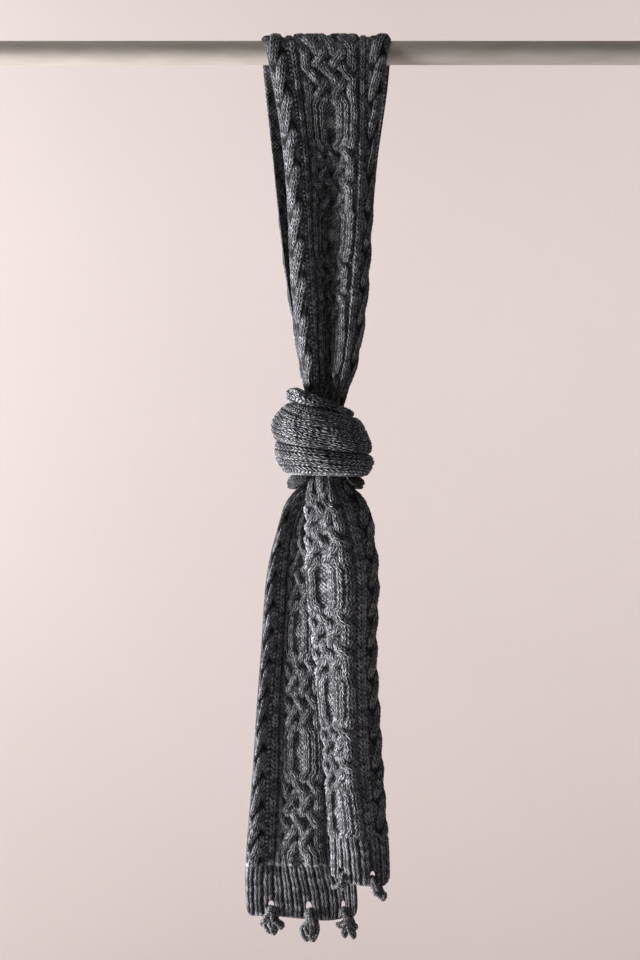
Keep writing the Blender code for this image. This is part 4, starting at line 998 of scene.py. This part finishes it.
def loop_course(tassel, place, index):
    """The course of one loop of yarn: through the eyelet, down both sides and round at its end."""
    middle, front, back, sill, hem = place
    shift, half, length = tassel.loops[index]
    at_sill, at_hem, at_tie = (share * shift for share in TASSEL_NARROW[index % 2])
    layer = LEG_LAYER * (index % 2)
    gap = YARN + YARN_GAP + layer
    centre = (front + back) / 2
    low = hem - length
    sway = TASSEL_SWAY * math.sin(2.3 * index + 0.7)
    end = shift + TASSEL_SWING * math.sin(3.1 * index + 0.5 + middle[0])
    legs = [[(at_sill + 0.3 * side * half, wall, sill - 1.5),
             (at_hem + 0.75 * side * half, wall, hem + 1.0),
             (at_tie + 0.9 * side * half, centre + 1.8 * side + side * layer / 2, hem - 3.2),
             (shift + side * half, centre + 1.4 * side + sway, (hem + low) / 2 - 1.0),
             (end + 0.9 * side * half, centre + 0.5 * side + sway, low + 1.3 * half)]
            for side, wall in ((-1, front - gap), (1, back + gap))]
    top = (at_sill, middle[1], sill + YARN + layer)
    return hung(tassel, place, [top, *legs[0], (end, centre + sway, low), *reversed(legs[1])])


def tie_course(tassel, place, tilt):
    """The course of the yarn that is drawn round the loops just under the hem."""
    _, front, back, _, hem = place
    wide = 2.0 + 0.6 * max(abs(shift) for shift, _, _ in tassel.loops)
    turns = np.arange(TIE_POINTS) * 2 * math.pi / TIE_POINTS
    return hung(tassel, place, [
        (wide * math.cos(turn), (front + back) / 2 + TIE_DEPTH * math.sin(turn),
         hem - TIE_DROP + tilt * wide * math.cos(turn)) for turn in turns])


def contact_shade(tubes, which):
    """Painted shade on each point of a yarn, as the share of its colour left: little where it lies
    close to other yarn.
    """
    ring, _, own = tubes[which]
    nearest = np.full(ring.shape[:2], np.inf)
    for other, (_, _, course) in enumerate(tubes):
        gap = np.linalg.norm(ring[:, :, None] - course[None, None], axis=3)
        if other == which:
            steps = np.abs(np.arange(len(own))[:, None] - np.arange(len(own)))
            steps = np.minimum(steps, len(own) - steps)
            gap += np.where(steps * YARN_STEP < OWN_REACH, np.inf, 0.0)[:, None]
        nearest = np.minimum(nearest, gap.min(axis=2))
    return lifted(SHADE_LOW, smooth_step((nearest - YARN) / SHADE_REACH))


def make_tassel(tassel, sides, block):
    """All the yarn of one tassel, as one mesh of separate loops."""
    place = hole_place(sides, block)
    courses = [loop_course(tassel, place, index) for index in range(len(tassel.loops))]
    courses += [tie_course(tassel, place, tilt) for tilt in tassel.ties]
    tubes = [yarn_tube(course) for course in courses]
    points, faces, ply, total = [], [], [], 0
    for which, (ring, shade, _) in enumerate(tubes):
        faces += (np.array(tube_faces(len(ring), YARN_SIDES)) + total).tolist()
        points.append(ring.reshape(-1, 3))
        # The ply number paints shade into the colour: between the plies and where the yarn touches
        # other yarn.
        ply.append((shade * contact_shade(tubes, which)).ravel())
        total += ring.shape[0] * YARN_SIDES
    return make_object(tassel.name + "_yarn", np.concatenate(points), faces,
                       {"ply": np.concatenate(ply)})


# ---- materials
class NodeValue(np.lib.mixins.NDArrayOperatorsMixin):
    """A value in a node tree. Arithmetic on it adds nodes, so it can take an array's place."""

    def __init__(self, tree, socket):
        self.tree = tree
        self.socket = socket

    def __array_ufunc__(self, ufunc, method, *numbers):
        return add_node(self.tree, "Math", 0, dict(enumerate(numbers)),
                        operation=OPERATIONS[ufunc.__name__])


def connect(node, inputs):
    """Give a node its inputs, each a number, a colour or a value in its tree."""
    for name, value in inputs.items():
        if isinstance(value, NodeValue):
            value.tree.links.new(value.socket, node.inputs[name])
        else:
            node.inputs[name].default_value = value


def add_node(tree, kind, output, inputs, **settings):
    """One output of a new node with the given settings and inputs."""
    made = tree.nodes.new("ShaderNode" + kind)
    for name, value in settings.items():
        setattr(made, name, value)
    connect(made, inputs)
    return NodeValue(tree, made.outputs[output])


def ramp(factor, stops):
    """A colour ramp with (place, colour) stops."""
    colour = add_node(factor.tree, "ValToRGB", "Color", {"Fac": factor})
    elements = colour.socket.node.color_ramp.elements
    while len(elements) < len(stops):
        elements.new(0.5)
    for element, (place, shade) in zip(elements, stops):
        element.position = place
        element.color = (*shade, 1.0)
    return colour


def mixed(blend, factor, first, second):
    """Two colours blended."""
    return add_node(first.tree, "Mix", 2, {0: factor, 6: first, 7: second},
                    data_type="RGBA", blend_type=blend)


def noise(place, scale, detail, roughness=0.5):
    return add_node(place.tree, "TexNoise", "Fac", {"Vector": place, "Scale": scale,
                                                    "Detail": detail, "Roughness": roughness})


def bump(height, strength, distance):
    return add_node(height.tree, "Bump", "Normal",
                    {"Height": height, "Strength": strength, "Distance": distance})


def new_material(name):
    """A material, its Principled shader and the place of each point on its object."""
    made = bpy.data.materials.new(name)
    made.use_nodes = True
    tree = made.node_tree
    return made, tree.nodes["Principled BSDF"], add_node(tree, "TexCoord", "Object", {})


def wool(name, gap_shade, shape=None):
    """Heathered charcoal yarn: light and dark fibres, soft fuzz, and painted shade between the
    stitches, beside the strands and in the hollows.

    Without a stitch shape it is the loose two-ply yarn of the tassels.
    """
    made, shader, place = new_material(name)
    tree = place.tree
    part = {kind: add_node(tree, "Attribute", "Fac", {}, attribute_name=kind)
            for kind in (KINDS if shape else ("ply",))}
    fibres, patches, fuzz = (noise(place, *size, FIBRE_ROUGHNESS) for size in FIBRES)
    if shape:
        across, along = part["across"], part["along"]
        yarn = yarn_height(across, along, part["knit"], shape) * part["inside"]
        stitch = add_node(tree, "CombineXYZ", "Vector", {"X": np.floor(across), "Y": np.floor(along)})
        chance = add_node(tree, "TexWhiteNoise", "Value", {"Vector": stitch})
        tone = fibres + (chance - 0.5) * STITCH_TONE
    else:
        # The tassels' yarn: its ply number holds painted shade.
        yarn, tone = part["ply"], fibres
    colour = ramp(tone, HEATHER if shape else LOOSE)
    colour = mixed("MULTIPLY", 0.5, colour, ramp(patches, PATCHES))
    # Painted shade where the yarn lies low: between the stitches and in the grooves.
    colour = mixed("MULTIPLY", 1.0, colour, ramp(yarn, gap_shade))
    if shape:
        # Painted shade in the hollows.
        colour = mixed("MULTIPLY", 1.0, colour, ramp(part["raised"], PAINTED_HOLLOW_SHADE))
        # Pale marks of the yarn, and painted glints.
        colour = mixed("MIX", part["light"] * FLECK_SHARE, colour, PALE_AND_GLINT_FLECK)
    connect(shader, {"Base Color": colour, "Roughness": 0.9, "Specular IOR Level": 0.2,
                     "Sheen Weight": 0.1, "Sheen Roughness": 0.5,
                     "Normal": bump(yarn + fuzz * 0.25 + fibres * 0.3, 0.7, 0.0010)})
    return made


def rod_finish():
    """Taupe paint: long soft mottling and a faint grain, with painted light and shade that make it
    paler at the top and darker towards the bottom.
    """
    made, shader, place = new_material("taupe_rod")
    along = add_node(place.tree, "Mapping", "Vector", {"Vector": place, "Scale": (0.22, 1.0, 1.0)})
    clouds = noise(along, 95.0, 5.0)
    height = add_node(place.tree, "SeparateXYZ", "Z", {"Vector": place})
    # Painted light and shade: the colour grows paler towards the rod's top and darker towards its
    # underside.
    painted_rod_shading = ramp(height * (0.5 / (ROD_RADIUS * MM)) + 0.5, PAINTED_ROD_SHADING)
    connect(shader, {"Base Color": mixed("MULTIPLY", 1.0, ramp(clouds, PAINT), painted_rod_shading),
                     "Roughness": clouds * 0.2 + 0.55,
                     "Normal": bump(noise(along, 900.0, 2.0), 0.25, 0.0003)})
    return made


def plaster(name, colour):
    """Smooth pale plaster with a faint cloudiness."""
    made, shader, place = new_material(name)
    darker = tuple(0.97 * part for part in colour)
    connect(shader, {"Base Color": ramp(noise(place, 1.1, 3.0), ((0.3, darker), (0.7, colour))),
                     "Roughness": 0.95, "Specular IOR Level": 0.1})
    return made


# ---- stage, lights and camera
def make_stage():
    """A plain wall far behind and a plain floor far below."""
    finish = plaster("pale_plaster", WALL_COLOUR)
    far = (WALL_Y, FLOOR_Z)
    for name, start, end in (("backdrop", far, (WALL_Y, ROOM_TOP)),
                             ("floor", (-ROOM_HALF, FLOOR_Z), far)):
        mesh = bpy.data.meshes.new(name)
        mesh.from_pydata([(-ROOM_HALF, *start), (ROOM_HALF, *start), (ROOM_HALF, *end),
                          (-ROOM_HALF, *end)], [], [(0, 1, 2, 3)])
        mesh.materials.append(finish)
        add_object(name, mesh)


def make_lights():
    """The lamps and the faint light of the room."""
    for lamp in LAMPS:
        data = bpy.data.lights.new(lamp.name, "AREA")
        data.shape = "RECTANGLE"
        data.size = lamp.width
        data.size_y = lamp.height
        data.energy = lamp.power
        data.color = lamp.colour
        made = add_object(lamp.name, data)
        made.location = lamp.place
        aim = Vector(lamp.aim) - Vector(lamp.place)
        made.rotation_euler = aim.to_track_quat("-Z", "Y").to_euler()
        made.visible_camera = False
    world = bpy.data.worlds.new("soft_room")
    world.use_nodes = True
    connect(world.node_tree.nodes["Background"], {"Color": SKY_COLOUR, "Strength": SKY_STRENGTH})
    bpy.context.scene.world = world
    bpy.context.scene.view_settings.view_transform = "Standard"


def make_camera():
    """A level camera straight before the scarf."""
    data = bpy.data.cameras.new("camera")
    data.lens = LENS
    data.clip_end = 50.0
    made = add_object("camera", data)
    made.location = CAMERA_PLACE
    made.rotation_euler = (math.pi / 2, 0.0, 0.0)
    bpy.context.scene.camera = made


# ---- assembly
def dress(piece, node, material):
    """Give a piece its material, tie it to the frame and let it stand for its node."""
    piece.data.materials.append(material)
    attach(piece, "root")
    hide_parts(node)


def main():
    """Make every piece, the stage, the lights and the camera."""
    knitted = wool("charcoal_wool", PAINTED_GAP_SHADE, LEG_SHAPE)
    stretched = wool("charcoal_wool_stretched", PAINTED_OPEN_GAP_SHADE, STRETCHED_SHAPE)
    loose = wool("charcoal_yarn", PAINTED_OPEN_GAP_SHADE)
    tails = {
        "tail_front": tail("tail_front", TAIL_FRONT, TAIL_FRONT_PATTERN, TAIL_FRONT_RIBBING),
        "tail_back": tail("tail_back", TAIL_BACK, TAIL_BACK_PATTERN, TAIL_BACK_RIBBING),
    }
    cloth = {"drop_front": drop_front(), "drop_back": drop_back()}
    cloth.update({name: made[0] for name, made in tails.items()})
    cloth.update({wrap.name: knot_wrap(wrap) for wrap in WRAPS})
    for node, piece in cloth.items():
        dress(piece, node, stretched if node.startswith("knot") else knitted)
    tassels = {"tail_front": [], "tail_back": []}
    for design in TASSELS:
        _, sides, blocks = tails[design.tail]
        piece = make_tassel(design, sides, blocks[design.name])
        dress(piece, design.name, loose)
        tassels[design.tail].append(piece)
    finish = rod_finish()
    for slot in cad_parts["rod"].material_slots:
        slot.material = finish
    make_stage()
    make_lights()
    make_camera()


main()
